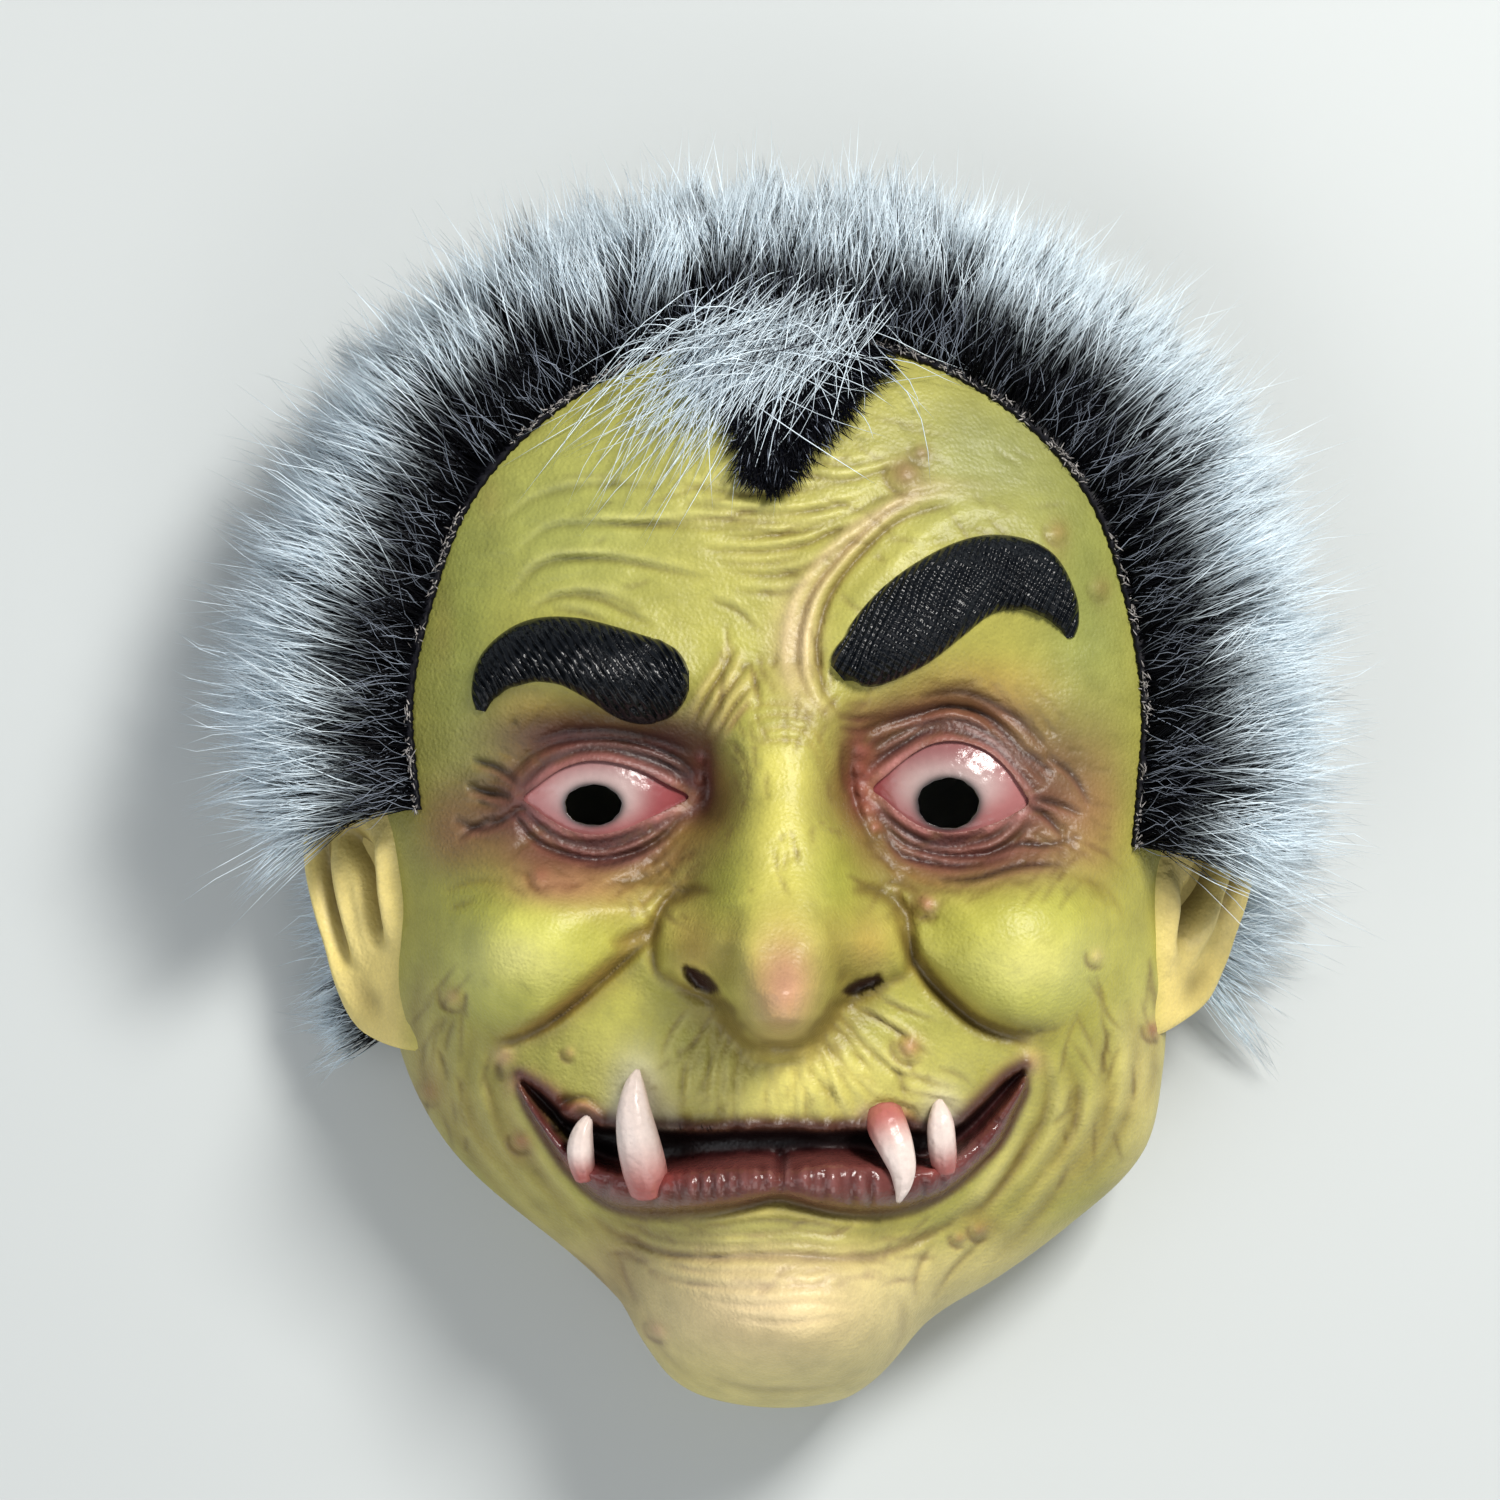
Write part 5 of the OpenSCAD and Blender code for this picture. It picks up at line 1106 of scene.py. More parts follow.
# ---------------------------------------------------------------------------------------------------
# The eyeballs: shallow domes of latex behind the lids, sprayed pinkish white under a clear gloss, with
# a round sight hole cut through each and a smudged grey edge to the hole.
eye_paint = painted("eye_enamel", 60, 0.00025, 0.06, 0.24, 0.14)
for name, centre, pupil, hole_x, hole_y in (("left", left_eye, left_pupil, 6.1, 4.4), ("right", right_eye, right_pupil, 6.6, 5.5)):
    around, rings, wall = 120, 34, 1.8
    theta = np.linspace(0, 2 * np.pi, around, endpoint=False)
    spread = smooth(np.linspace(0, 1, rings)) * 0.55 + np.linspace(0, 1, rings) * 0.45
    hole = np.stack((pupil[0] + hole_x * np.cos(theta), pupil[1] + hole_y * np.sin(theta)), -1)
    rough_edge = 1 + 0.018 * np.sin(5 * theta + 1) + 0.012 * np.sin(13 * theta)
    hole = pupil + (hole - pupil) * rough_edge[:, None]
    rim_line = np.stack((centre[0] + 20.6 * np.cos(theta), centre[1] + 14.5 * np.sin(theta)), -1)
    xy = hole[None] + (rim_line - hole)[None] * spread[:, None, None]
    z = eyeball(centre, xy[..., 0], xy[..., 1])
    front = np.dstack((xy, z)).reshape(-1, 3)
    back = np.dstack((xy, z - wall)).reshape(-1, 3)
    k = np.arange(around)
    nxt = (k + 1) % around
    quads = []
    for r in range(rings - 1):
        a = r * around
        quads.append(np.stack((a + k, a + around + k, a + around + nxt, a + nxt), -1))
        b = (rings + r) * around
        quads.append(np.stack((b + nxt, b + around + nxt, b + around + k, b + k), -1))
    a, b = 0, rings * around
    quads.append(np.stack((a + nxt, b + nxt, b + k, a + k), -1))
    a, b = (rings - 1) * around, (2 * rings - 1) * around
    quads.append(np.stack((a + k, b + k, b + nxt, a + nxt), -1))
    eye = fast_mesh(f"eyeball_{name}", np.vstack((front, back)), np.vstack(quads))
    from_hole = np.hypot((front[:, 0] - pupil[0]) / hole_x, (front[:, 1] - pupil[1]) / hole_y) - 1
    from_middle = np.hypot((front[:, 0] - centre[0]) / 19, (front[:, 1] - centre[1] - 2) / 10)
    tint = srgb(178, 156, 153)[None] + 0 * front
    pink = smooth((from_middle - 0.3) / 0.55)[:, None] * 0.85
    tint = tint * (1 - pink) + srgb(150, 84, 84) * pink
    inner_side = smooth((front[:, 0] - centre[0] - 4) / 9 if name == "left" else (centre[0] - front[:, 0] - 10) / 6)[:, None] * 0.9
    tint = tint * (1 - inner_side) + srgb(134, 62, 66) * inner_side
    # The top of each eyeball is darkened as the painted shadow of the upper lid.
    lid_shade = smooth((front[:, 1] - centre[1] - 2) / 8)[:, None] * 0.6
    tint = tint * (1 - lid_shade) + srgb(120, 82, 84) * lid_shade
    smudge = (np.exp(-((np.clip(from_hole, 0, None) / 0.2) ** 1.5)) * 0.95)[:, None]
    tint = tint * (1 - smudge) + srgb(46, 46, 46) * smudge
    dab(eye, np.vstack((tint, np.tile(srgb(196, 180, 130), (len(back), 1)))), np.full(2 * len(front), 0.8))
    eye.data.materials.append(eye_paint)
    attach(eye, "mask")
    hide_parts(f"eye_{name}")


# ---------------------------------------------------------------------------------------------------
# The fangs: curved tusks of the same latex, white with a pink shadow and red at the root, one of them
# pointing down. Each is a tapered tube of oval section carried along a bent line over the lips.
fang_paint = painted("fang_enamel", 70, 0.0004, 0.12, 0.3, 0.2)
tusks = {
    "left_outer": [(-42.6, -82.5, 0.5, 2.4), (-43.4, -79, 2.4, 2.9), (-43.6, -75.4, 3.4, 2.9), (-43.0, -72, 3.6, 2.2), (-42, -69.6, 3.0, 1.2), (-41.6, -68.6, 2.6, 0.4)],
    "left_inner": [(-28.6, -84.5, 0.5, 4.4), (-29.6, -79.6, 4.2, 4.9), (-31, -73, 6.4, 4.6), (-31.8, -67, 7.0, 3.7), (-31.6, -61.6, 6.2, 2.2), (-31, -58.4, 5.0, 0.5)],
    "right_inner": [(22.6, -68, 0.5, 4.0), (23.2, -70.6, 3.0, 4.4), (25, -75, 5.0, 3.9), (26.4, -79.6, 5.4, 3.0), (26.4, -83.6, 4.6, 1.9), (25.6, -87, 3.4, 0.5)],
    "right_outer": [(35.8, -80.5, 0.5, 2.5), (35.4, -77.4, 2.6, 3.0), (35, -73.4, 4.0, 3.1), (34.8, -69.6, 4.2, 2.8), (34.6, -66.4, 3.4, 1.6), (34.8, -65, 3.0, 0.5)]}
for name, rows in tusks.items():
    path = curve(rows, 0.45)
    down = rows[-1][1] < rows[0][1]
    ground = skin_height(path[:, 0], path[:, 1])
    ground = np.interp(np.linspace(0, 1, len(path)), np.linspace(0, 1, 6), np.interp(np.linspace(0, 1, 6), np.linspace(0, 1, len(path)), ground))
    base_z = np.minimum(np.maximum(ground, np.linspace(ground[0], ground[-1], len(path))), ground.mean() + 3)
    spine = np.column_stack((path[:, :2], base_z + path[:, 2] - 1.2))
    tangent = np.gradient(spine, axis=0)
    tangent /= np.linalg.norm(tangent, axis=1, keepdims=True)
    across = np.cross(tangent, (0, 0, 1.0))
    across /= np.linalg.norm(across, axis=1, keepdims=True)
    raised = np.cross(across, tangent)
    around = 28
    theta = np.linspace(0, 2 * np.pi, around, endpoint=False)
    ring = spine[:, None] + path[:, 3][:, None, None] * (np.cos(theta)[None, :, None] * across[:, None] + 0.9 * np.sin(theta)[None, :, None] * raised[:, None])
    ring += (0.10 * np.sin(9 * theta + 1.0)[None, :, None] * raised[:, None])
    points = np.vstack((spine[:1], ring.reshape(-1, 3), spine[-1:]))
    quads, triangles = lens(len(spine), around)
    tusk = fast_mesh(f"tusk_{name}", points, quads, triangles)
    along = np.concatenate(([0], np.repeat(np.linspace(0, 1, len(spine)), around), [1]))
    under_side = np.concatenate(([0], np.tile(np.clip(-np.sin(theta) * 0.6 + 0.3 * np.cos(theta) + 0.2, 0, 1), len(spine)), [0]))
    tint = srgb(218, 202, 194)[None] + 0 * points
    rosy = (under_side * 0.7)[:, None]
    tint = tint * (1 - rosy) + srgb(214, 158, 146) * rosy
    red = (smooth((0.5 - along) / 0.42) * 0.9)[:, None]
    tint = tint * (1 - red) + srgb(160, 72, 66) * red
    dab(tusk, tint, np.full(len(points), 0.5))
    tusk.data.materials.append(fang_paint)
    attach(tusk, "mask")
    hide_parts(f"fang_{name}")


# ---------------------------------------------------------------------------------------------------
# The fur: panels of woven-backed faux fur glued round the hairline and down the side walls. The pile
# is black at the root and white at the tip, the white tinted blue as painted bounce light. Each panel is a thin dark
# backing with its raw cut edge on show, and thousands of tapered three-sided strands that gather into clumps.
hairline, fur_low = 0.88, 1.95


def head_place(a, t):
    """The plain skin at an angle in degrees and a step t: 0 at the nose, 1 on the widest line, 2 on
    the rim."""
    a, t = np.broadcast_arrays(np.asarray(a, float), np.asarray(t, float))
    turn = np.radians(90 * np.clip(t, 0, 1))
    share = np.where(t <= 1, np.sin(turn) ** (2 / dome_m), 1 - rim_tuck * np.clip(t - 1, 0, 1) ** 2)
    x, y = (outline_r(a) * share * f(np.radians(a)) for f in (np.cos, np.sin))
    over = widest_z + dome_h * np.clip(np.cos(turn), 0, 1) ** (2 / dome_n) + relief(x, y) * fade(share)
    return np.stack((x, y, np.where(t <= 1, over, widest_z * (2 - t))), -1)


def unit(v):
    return v / np.maximum(np.linalg.norm(v, axis=-1, keepdims=True), 1e-9)


def head_normal(a, t):
    """The outward normal of the plain skin, from small steps along both of its directions."""
    along = head_place(np.add(a, 0.4), t) - head_place(np.subtract(a, 0.4), t)
    down = head_place(a, np.clip(np.add(t, 0.01), 0, 2)) - head_place(a, np.clip(np.subtract(t, 0.01), 0, 2))
    return unit(np.cross(down, along))


fur_start = math.asin(hairline ** (dome_m / 2)) / (math.pi / 2)
fur_fibre, fibre_shader = new_finish("fur_fibre", Roughness=0.5, Specular_IOR_Level=0.12)
own = finish_node(fur_fibre, "ShaderNodeAttribute", attribute_name="paint")
place = finish_node(fur_fibre, "ShaderNodeTexCoord").outputs["Object"]
uneven = finish_node(fur_fibre, "ShaderNodeTexNoise", Vector=place, Scale=180.0, Detail=3.0)
gain = finish_node(fur_fibre, "ShaderNodeMapRange", Value=uneven.outputs["Fac"], i1=0.3, i2=0.7, i3=0.88, i4=1.03)
lit = finish_node(fur_fibre, "ShaderNodeVectorMath", operation="SCALE", i0=own.outputs["Color"], Scale=gain.outputs[0])
connect(fur_fibre, lit.outputs[0], fibre_shader.inputs["Base Color"])
# The tips are white, tinted blue as painted bounce light.
black_root, white_tip_blue_bounce = srgb(4, 5, 11), srgb(228, 243, 252)


def strands(name, path, radius, tint, node):
    """Three-sided tapered prisms, one along each row of path, with a closed root and a pointed tip."""
    n, rings = path.shape[:2]
    along = unit(np.gradient(path, axis=1))
    side_way = unit(np.cross(along, unit(rng.normal(size=(n, 1, 3)))))
    lift = np.cross(along, side_way)
    theta = np.radians((0, 120, 240))
    ring = path[:, :-1, None] + radius[:, :-1, None, None] * (
        np.cos(theta)[:, None] * side_way[:, :-1, None] + np.sin(theta)[:, None] * lift[:, :-1, None])
    points = np.concatenate((ring.reshape(n, -1, 3), path[:, -1:]), 1)
    size = 3 * (rings - 1) + 1
    k = np.arange(3)
    step = 3 * np.arange(rings - 2)[:, None]
    quad = np.stack((step + k, step + (k + 1) % 3, step + 3 + (k + 1) % 3, step + 3 + k), -1).reshape(-1, 4)
    last = 3 * (rings - 2)
    tip = np.vstack((np.stack((last + k, last + (k + 1) % 3, np.full(3, size - 1)), -1), (2, 1, 0)))
    start = size * np.arange(n)[:, None, None]
    lock = fast_mesh(name, points, start + quad, start + tip)
    colour = np.concatenate((np.repeat(tint[:, :-1], 3, 1), tint[:, -1:]), 1).reshape(-1, 3)
    dab(lock, colour, np.zeros(len(colour)))
    lock.data.materials.append(fur_fibre)
    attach(lock, "mask")
    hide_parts(node)
    return lock


def two_tone(s, turn, blend, root=black_root, tip=white_tip_blue_bounce):
    """Root to tip colour along s, changing at a share of the length over a blend either side."""
    mix = smooth((s - turn + blend) / (2 * blend))[..., None]
    return root * (1 - mix) + tip * mix


def clumped(path, clump, home, grip, power=1.4):
    """Draws strands towards their clump's own line by a grip that grows along them."""
    s = np.linspace(0, 1, path.shape[1])[None, :, None]
    pull = grip[:, None, None] * s**power
    return path * (1 - pull) + home[clump] * pull


def fur_coat(name, node, count, a_range, t_range, clumps_across, seed, length, dark, wisps=0.09, sag=0.10, tangle=0.26):
    """A coat of strands over a range of angles and steps: each leaves the skin between its normal and
    the level direction outward, leans with its clump, sags a little and curls."""
    dice = np.random.default_rng(seed)

    def rows(m):
        a = dice.uniform(*a_range, m)
        t = t_range[0] + (t_range[1] - t_range[0]) * dice.uniform(0, 1, m) ** 1.25
        return a, t

    def lines(a, t, lean, rise, reach):
        root = head_place(a, t) + 0.6 * head_normal(a, t)
        level = np.stack((np.cos(np.radians(a)), np.sin(np.radians(a)), 0 * a), -1)
        sideways = np.stack((-level[:, 1], level[:, 0], 0 * a), -1)
        heading = unit(0.45 * head_normal(a, t) + 0.8 * level + lean[:, None] * sideways + rise[:, None] * np.array((0, 0, 1.0)))
        s = np.linspace(0, 1, 5)[None, :, None]
        path = root[:, None] + reach[:, None, None] * (s * heading[:, None] - sag * s**2 * np.array((0, 0, 1.0)))
        return path, sideways

    def reach_of(a, t):
        full = smooth((t - fur_start) / (1 - fur_start))
        crown = np.abs(np.cos(np.radians(a))) ** 1.5
        return length[0] + (length[1] - length[0]) * crown - full * (7 + 5 * crown)

    ca, ct = rows(clumps_across)
    c_lean, c_rise = dice.normal(0, 0.34, clumps_across), dice.normal(0.02, 0.18, clumps_across)
    c_reach = reach_of(ca, ct) * dice.uniform(0.78, 1.34, clumps_across)
    c_dark = dark * dice.uniform(0.82, 1.2, clumps_across)
    home, _ = lines(ca, ct, c_lean, c_rise, c_reach)
    a, t = rows(count)
    root = head_place(a, t)
    clump = np.empty(count, int)
    for first in range(0, count, 2000):
        part = slice(first, first + 2000)
        clump[part] = ((root[part, None] - home[None, :, 0]) ** 2).sum(-1).argmin(-1)
    long = dice.uniform(0, 1, count) < wisps
    reach = reach_of(a, t) * dice.uniform(0.55, 1.04, count) * np.where(long, dice.uniform(1.2, 1.5, count), 1)
    path, sideways = lines(a, t, c_lean[clump] * 0.7 + dice.normal(0, tangle, count), c_rise[clump] * 0.6 + dice.normal(0, 0.12, count), reach)
    grip = np.where(long, 0.05, dice.uniform(0.25, 0.92, count))
    path = clumped(path, clump, home, grip)
    s = np.linspace(0, 1, 5)[None]
    curl = dice.uniform(0.3, 2.9, (count, 1)) * s * np.sin(dice.uniform(3, 8, (count, 1)) * s + dice.uniform(0, 6.3, (count, 1)))
    path += curl[..., None] * sideways[:, None]
    path[..., 2] += dice.uniform(-0.9, 0.9, (count, 1)) * s * np.sin(dice.uniform(3, 7, (count, 1)) * s)
    keep_in(path)
    radius = dice.uniform(0.085, 0.145, (count, 1)) * np.array((1.0, 1.0, 0.96, 0.8, 0.0))[None]
    turn = (c_dark[clump] + dice.normal(0, 1.3, count))[:, None] / reach[:, None]
    tint = two_tone(s + 0 * turn, turn, 0.09) * dice.uniform(0.8, 1.1, (count, 1, 1))
    return strands(name, path, radius, tint, node)


def keep_in(path):
    """Turns strands along the table and short of the room the mask is given."""
    path[..., 2] = np.where(path[..., 2] < 1.2, 0.35 + 0.85 * np.exp((np.minimum(path[..., 2], 1.2) - 1.2) / 4), path[..., 2])
    path[..., 0] = np.clip(path[..., 0], -134.5, 133.5)
    path[..., 1] = np.clip(path[..., 1], -140, 152.5)
    path[..., 2] = np.clip(path[..., 2], 0.3, 122)


def backing(name, node, a_range, t_range, steps):
    """The woven backing: a closed strip 1.7 mm thick that lies on the skin."""
    a = np.linspace(*a_range, steps)[None]
    t = np.linspace(*t_range, 26)[:, None]
    ragged = 0.0016 * np.sin(a * 7.3) + 0.002 * np.sin(a * 3.1 + 1)
    t = t + ragged * np.linspace(1, 0, 26)[:, None]
    normal = head_normal(a, t)
    inner, outer = head_place(a, t) + 0.15 * normal, head_place(a, t) + 1.25 * normal
    rows, cols = 26, steps
    n = rows * cols
    quads = np.vstack((grid_faces(rows, cols), grid_faces(rows, cols, n, turned=True)))
    i, j = np.arange(rows - 1) * cols, np.arange(cols - 1)
    rims = []
    for line, flip in ((i, False), (i + cols - 1, True)):
        face = np.stack((line, line + cols, line + cols + n, line + n), -1)
        rims.append(face[:, ::-1] if flip else face)
    for line, flip in ((j, True), (j + (rows - 1) * cols, False)):
        face = np.stack((line, line + 1, line + 1 + n, line + n), -1)
        rims.append(face[:, ::-1] if flip else face)
    points = np.vstack((inner.reshape(-1, 3), outer.reshape(-1, 3)))
    points[:, 2] = np.maximum(points[:, 2], 0.2)
    pelt = fast_mesh(name, points, np.vstack((quads, *rims)))
    dab(pelt, np.tile(srgb(11, 11, 18), (len(points), 1)), np.zeros(len(points)))
    pelt.data.materials.append(fur_fibre)
    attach(pelt, "mask")
    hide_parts(node)


panels = {
    "crown": ("fur_crown", (62.0, 112.0), (fur_start, fur_low), 130),
    "side_left": ("fur_side_left", (112.0, 181.6), (fur_start, fur_low), 170),
    "side_right": ("fur_side_right", (-7.6, 62.0), (fur_start, fur_low), 170),
    "nape_left": ("fur_nape_left", (183.0, 211.5), (1.4, 1.9), 60),
    "nape_right": ("fur_nape_right", (-21.6, -9.0), (1.4, 1.9), 40)}
for name, (node, a_range, t_range, steps) in panels.items():
    backing(f"backing_{name}", node, a_range, t_range, steps)

top = (fur_start, fur_start + 0.42)
low = (fur_start + 0.30, 1.9)
fur_coat("crown_pile_front", "fur_crown", 7600, (62.4, 111.6), top, 150, 51, (31, 41), 17.0)
fur_coat("crown_pile_back", "fur_crown", 5600, (62.4, 111.6), low, 110, 52, (31, 41), 10.0)
fur_coat("side_left_pile_front", "fur_side_left", 8200, (112.4, 181.4), top, 170, 53, (32, 43), 20.0)
fur_coat("side_left_pile_back", "fur_side_left", 6400, (112.4, 181.4), low, 130, 54, (32, 43), 11.0)
fur_coat("side_right_pile_front", "fur_side_right", 8200, (-7.4, 61.6), top, 170, 55, (32, 43), 20.0)
fur_coat("side_right_pile_back", "fur_side_right", 6400, (-7.4, 61.6), low, 130, 56, (32, 43), 11.0)
fur_coat("nape_left_pile", "fur_nape_left", 1500, (183.5, 211.0), (1.42, 1.86), 40, 57, (33, 34), 11.0, wisps=0.1)
fur_coat("nape_right_pile", "fur_nape_right", 700, (-21.2, -9.4), (1.42, 1.86), 20, 58, (33, 46), 11.0, wisps=0.14)


# ---------------------------------------------------------------------------------------------------
# The widow's peak: a tongue of the same fur glued down over the middle of the forehead, its short
# black nap lying towards its point, and the long white-tipped forelock that falls over it.
peak_line = [(-20, 99), (-15, 93), (-10.6, 86), (-9, 80), (-8.4, 74.4), (-6.6, 69.6), (-2.4, 67.4), (1.4, 69), (3.6, 73), (6, 77.4), (9.4, 81),
             (13.4, 86), (17.4, 91.6), (23, 98), (16, 102.6), (0, 104), (-14, 102.6)]
line = closed(peak_line, 0.8)[:, :2]
centre = np.array((-1.0, 88.0))
theta = np.linspace(0, 2 * np.pi, 140, endpoint=False)
bearing = np.arctan2(line[:, 1] - centre[1], line[:, 0] - centre[0]) % (2 * np.pi)
order = np.argsort(bearing)
edge = np.interp(theta, bearing[order], np.hypot(*(line - centre).T)[order], period=2 * np.pi)
out = np.concatenate((np.linspace(0.05, 0.96, 16), [1.0, 1.0]))
xy = centre + out[:, None, None] * edge[None, :, None] * np.stack((np.cos(theta), np.sin(theta)), -1)[None]
ground = skin_height(xy[..., 0], xy[..., 1])
rise = np.concatenate((np.full(15, 2.2), [2.1, 1.5, -0.3]))[:, None]
front = np.dstack((xy, ground + rise))
under = np.dstack((xy[::-1][1:], (ground - 0.3)[::-1][1:]))
local = np.vstack((front.mean(1)[:1], front.reshape(-1, 3), under.reshape(-1, 3), under.mean(1)[-1:]))
quads, triangles = lens(35, 140)
tongue = fast_mesh("peak_backing", local, quads, triangles)
dab(tongue, np.tile(srgb(11, 11, 18), (len(local), 1)), np.zeros(len(local)))
tongue.data.materials.append(fur_fibre)
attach(tongue, "mask")
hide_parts("fur_peak")


def lie_over(path, clearance):
    """Lifts strands to a clearance over the face wherever they would sink into it."""
    ground = skin_height(path[..., 0], path[..., 1])
    path[..., 2] = np.maximum(path[..., 2], ground + clearance)


dice = np.random.default_rng(61)
many = 16000
xy = np.column_stack((dice.uniform(-21, 24, many), dice.uniform(66, 104, many)))
xy = xy[inside(line, xy[:, 0], xy[:, 1])][:5200]
count = len(xy)
s = np.linspace(0, 1, 5)[None, :, None]
spread = np.column_stack(((xy[:, 0] + 1) * 0.05, -0.9 + 0 * xy[:, 0])) + dice.normal(0, 0.38, (count, 2))
reach = dice.uniform(3.5, 7.5, (count, 1, 1)) * (1 - 0.45 * smooth((76 - xy[:, 1]) / 8))[:, None, None]
flat_path = xy[:, None] + s * reach * unit(spread)[:, None]
height = skin_height(flat_path[..., 0], flat_path[..., 1])
path = np.dstack((flat_path, height + 1.8 + (3.2 * np.sin(np.pi * np.clip(s[..., 0] * 0.6, 0, 1)) * dice.uniform(0.3, 1.1, (count, 1)))))
pale_ones = dice.uniform(0, 1, (count, 1, 1)) < 0.07
tint = np.where(pale_ones, srgb(120, 128, 142), black_root * 1.3) * dice.uniform(0.5, 1.5, (count, 1, 1)) + 0 * path
strands("peak_nap", path, dice.uniform(0.09, 0.14, (count, 1)) * np.array((1, 1, 0.95, 0.7, 0))[None], tint, "fur_peak")

# The forelock's locks: root x and y, tip x and y, how many strands, how far they spread at the tip.
locks = [(2, 108, -54, 72, 26, 5), (0, 106, -47, 58, 16, 6), (-4, 104, -44, 80, 40, 6), (2, 110, -33, 66, 48, 5), (6, 112, -28, 70, 52, 5), (-2, 104, -36, 86, 40, 6),
         (8, 114, -22, 76, 70, 6), (4, 108, -24, 84, 60, 6), (-8, 102, -42, 92, 36, 6), (10, 114, -14, 82, 80, 6), (12, 116, -8, 88, 80, 7), (2, 104, -18, 72, 50, 5),
         (6, 106, -12, 76, 40, 5), (14, 116, -2, 92, 70, 7), (10, 112, -26, 92, 50, 6), (16, 118, 6, 96, 60, 6), (4, 106, -30, 78, 60, 6), (0, 100, 38, 90, 7, 3),
         (-4, 98, 46, 92, 6, 2), (2, 96, 24, 80, 10, 5), (6, 104, 22, 86, 14, 6), (0, 108, 8, 72, 16, 5), (-6, 106, -30, 95, 34, 6), (4, 110, -2, 76, 30, 6),
         (-10, 108, -50, 88, 12, 5), (-2, 112, -20, 96, 50, 7), (18, 112, 4, 84, 30, 6), (-14, 106, -38, 98, 20, 5), (0, 106, -38, 62, 14, 5), (8, 108, -8, 70, 14, 4)]
table = np.array(locks, float)
table[:, 4] = np.round(table[:, 4] * 0.62)
which = np.repeat(np.arange(len(table)), table[:, 4].astype(int))
count = len(which)
start = table[which, 0:2] + dice.normal(0, (8.5, 5.5), (count, 2))
end = table[which, 2:4] + dice.normal(0, 1, (count, 2)) * table[which, 5:6] * 1.3
end = start + (end - start) * dice.uniform(0.62, 1.06, (count, 1))
s = np.linspace(0, 1, 7)[None, :, None]
across = unit(end - start)[:, ::-1] * np.array((-1, 1))
bow = table[which, 2:3] * 0.02 * dice.uniform(2, 8, (count, 1)) * 0.5 + dice.normal(0, 2.2, (count, 1))
flat_path = start[:, None] + s * (end - start)[:, None] + (np.sin(np.pi * s) * bow[:, None]) * across[:, None]
flat_path += (dice.normal(0, 0.8, (count, 1, 1)) * s * np.sin(dice.uniform(4, 9, (count, 1, 1)) * s)) * across[:, None]
rooted = np.clip(skin_height(start[:, 0], start[:, 1]), 38, None)
height = rooted[:, None] + (skin_height(end[:, 0], end[:, 1]) - rooted)[:, None] * s[..., 0]
height = height + np.sin(np.pi * s[..., 0] ** 0.7) * dice.uniform(4, 12, (count, 1)) + 2.0
path = np.dstack((flat_path, height))
lie_over(path, dice.uniform(0.5, 3.0, (count, 1)) * np.ones((1, 7)))
lie_over(path[:, :4], 3.4)
keep_in(path)
radius = dice.uniform(0.085, 0.14, (count, 1)) * np.array((1, 1, 1, 0.95, 0.85, 0.65, 0))[None]
tint = two_tone(s[..., 0] + 0 * start[:, :1], dice.normal(0.24, 0.14, (count, 1)), 0.14, srgb(20, 22, 36)) * dice.uniform(0.75, 1.08, (count, 1, 1))
strands("forelock", path, radius, tint, "fur_peak")

# Ends of white warp thread along the raw edge of the fabric, and stray pale fibres over the black.
for name, (node, a_range, t_range, steps) in list(panels.items())[:3]:
    count = 260
    a = np.repeat(dice.uniform(*a_range, count // 13), 13) + dice.normal(0, 1.1, count)
    a = np.clip(a, a_range[0] + 0.3, a_range[1] - 0.3)
    t = fur_start + dice.uniform(-0.004, 0.012, count)
    root = head_place(a, t) + (1.1 + dice.uniform(0, 1.0, count))[:, None] * head_normal(a, t)
    heading = unit(dice.normal(size=(count, 3)) + np.stack((-np.sin(np.radians(a)), np.cos(np.radians(a)), 0 * a), -1) * dice.choice((-1.4, 1.4), (count, 1)))
    s = np.linspace(0, 1, 3)[None, :, None]
    path = root[:, None] + s * dice.uniform(0.8, 2.2, (count, 1, 1)) * heading[:, None]
    radius = dice.uniform(0.12, 0.2, (count, 1)) * np.array((0.9, 1, 0))[None]
    tint = srgb(176, 172, 170) * dice.uniform(0.35, 1.0, (count, 1, 1)) + 0 * path
    strands(f"edge_threads_{name}", path, radius, tint, node)

    count = 900
    a = dice.uniform(*a_range, count)
    t = fur_start + dice.uniform(0, 0.16, count)
    normal, root = head_normal(a, t), head_place(a, t)
    level = np.stack((np.cos(np.radians(a)), np.sin(np.radians(a)), 0 * a), -1)
    sideways = np.stack((-level[:, 1], level[:, 0], 0 * a), -1)
    heading = unit(0.5 * normal + 0.8 * level + dice.normal(0, 0.45, (count, 1)) * sideways + np.array((0, 0, 0.30)))
    s = np.linspace(0, 1, 6)[None, :, None]
    path = (root + 1.5 * normal)[:, None] + s * dice.uniform(7, 19, (count, 1, 1)) * heading[:, None]
    path += np.sin(dice.uniform(3, 11, (count, 1, 1)) * s + dice.uniform(0, 6, (count, 1, 1))) * s * dice.uniform(0.4, 2.0, (count, 1, 1)) * sideways[:, None]
    keep_in(path)
    tint = srgb(150, 160, 176) * dice.uniform(0.25, 1.0, (count, 1, 1)) + 0 * path
    strands(f"stray_fibres_{name}", path, dice.uniform(0.06, 0.10, (count, 1)) * np.array((0.7, 1, 1, 1, 0.8, 0))[None], tint, node)


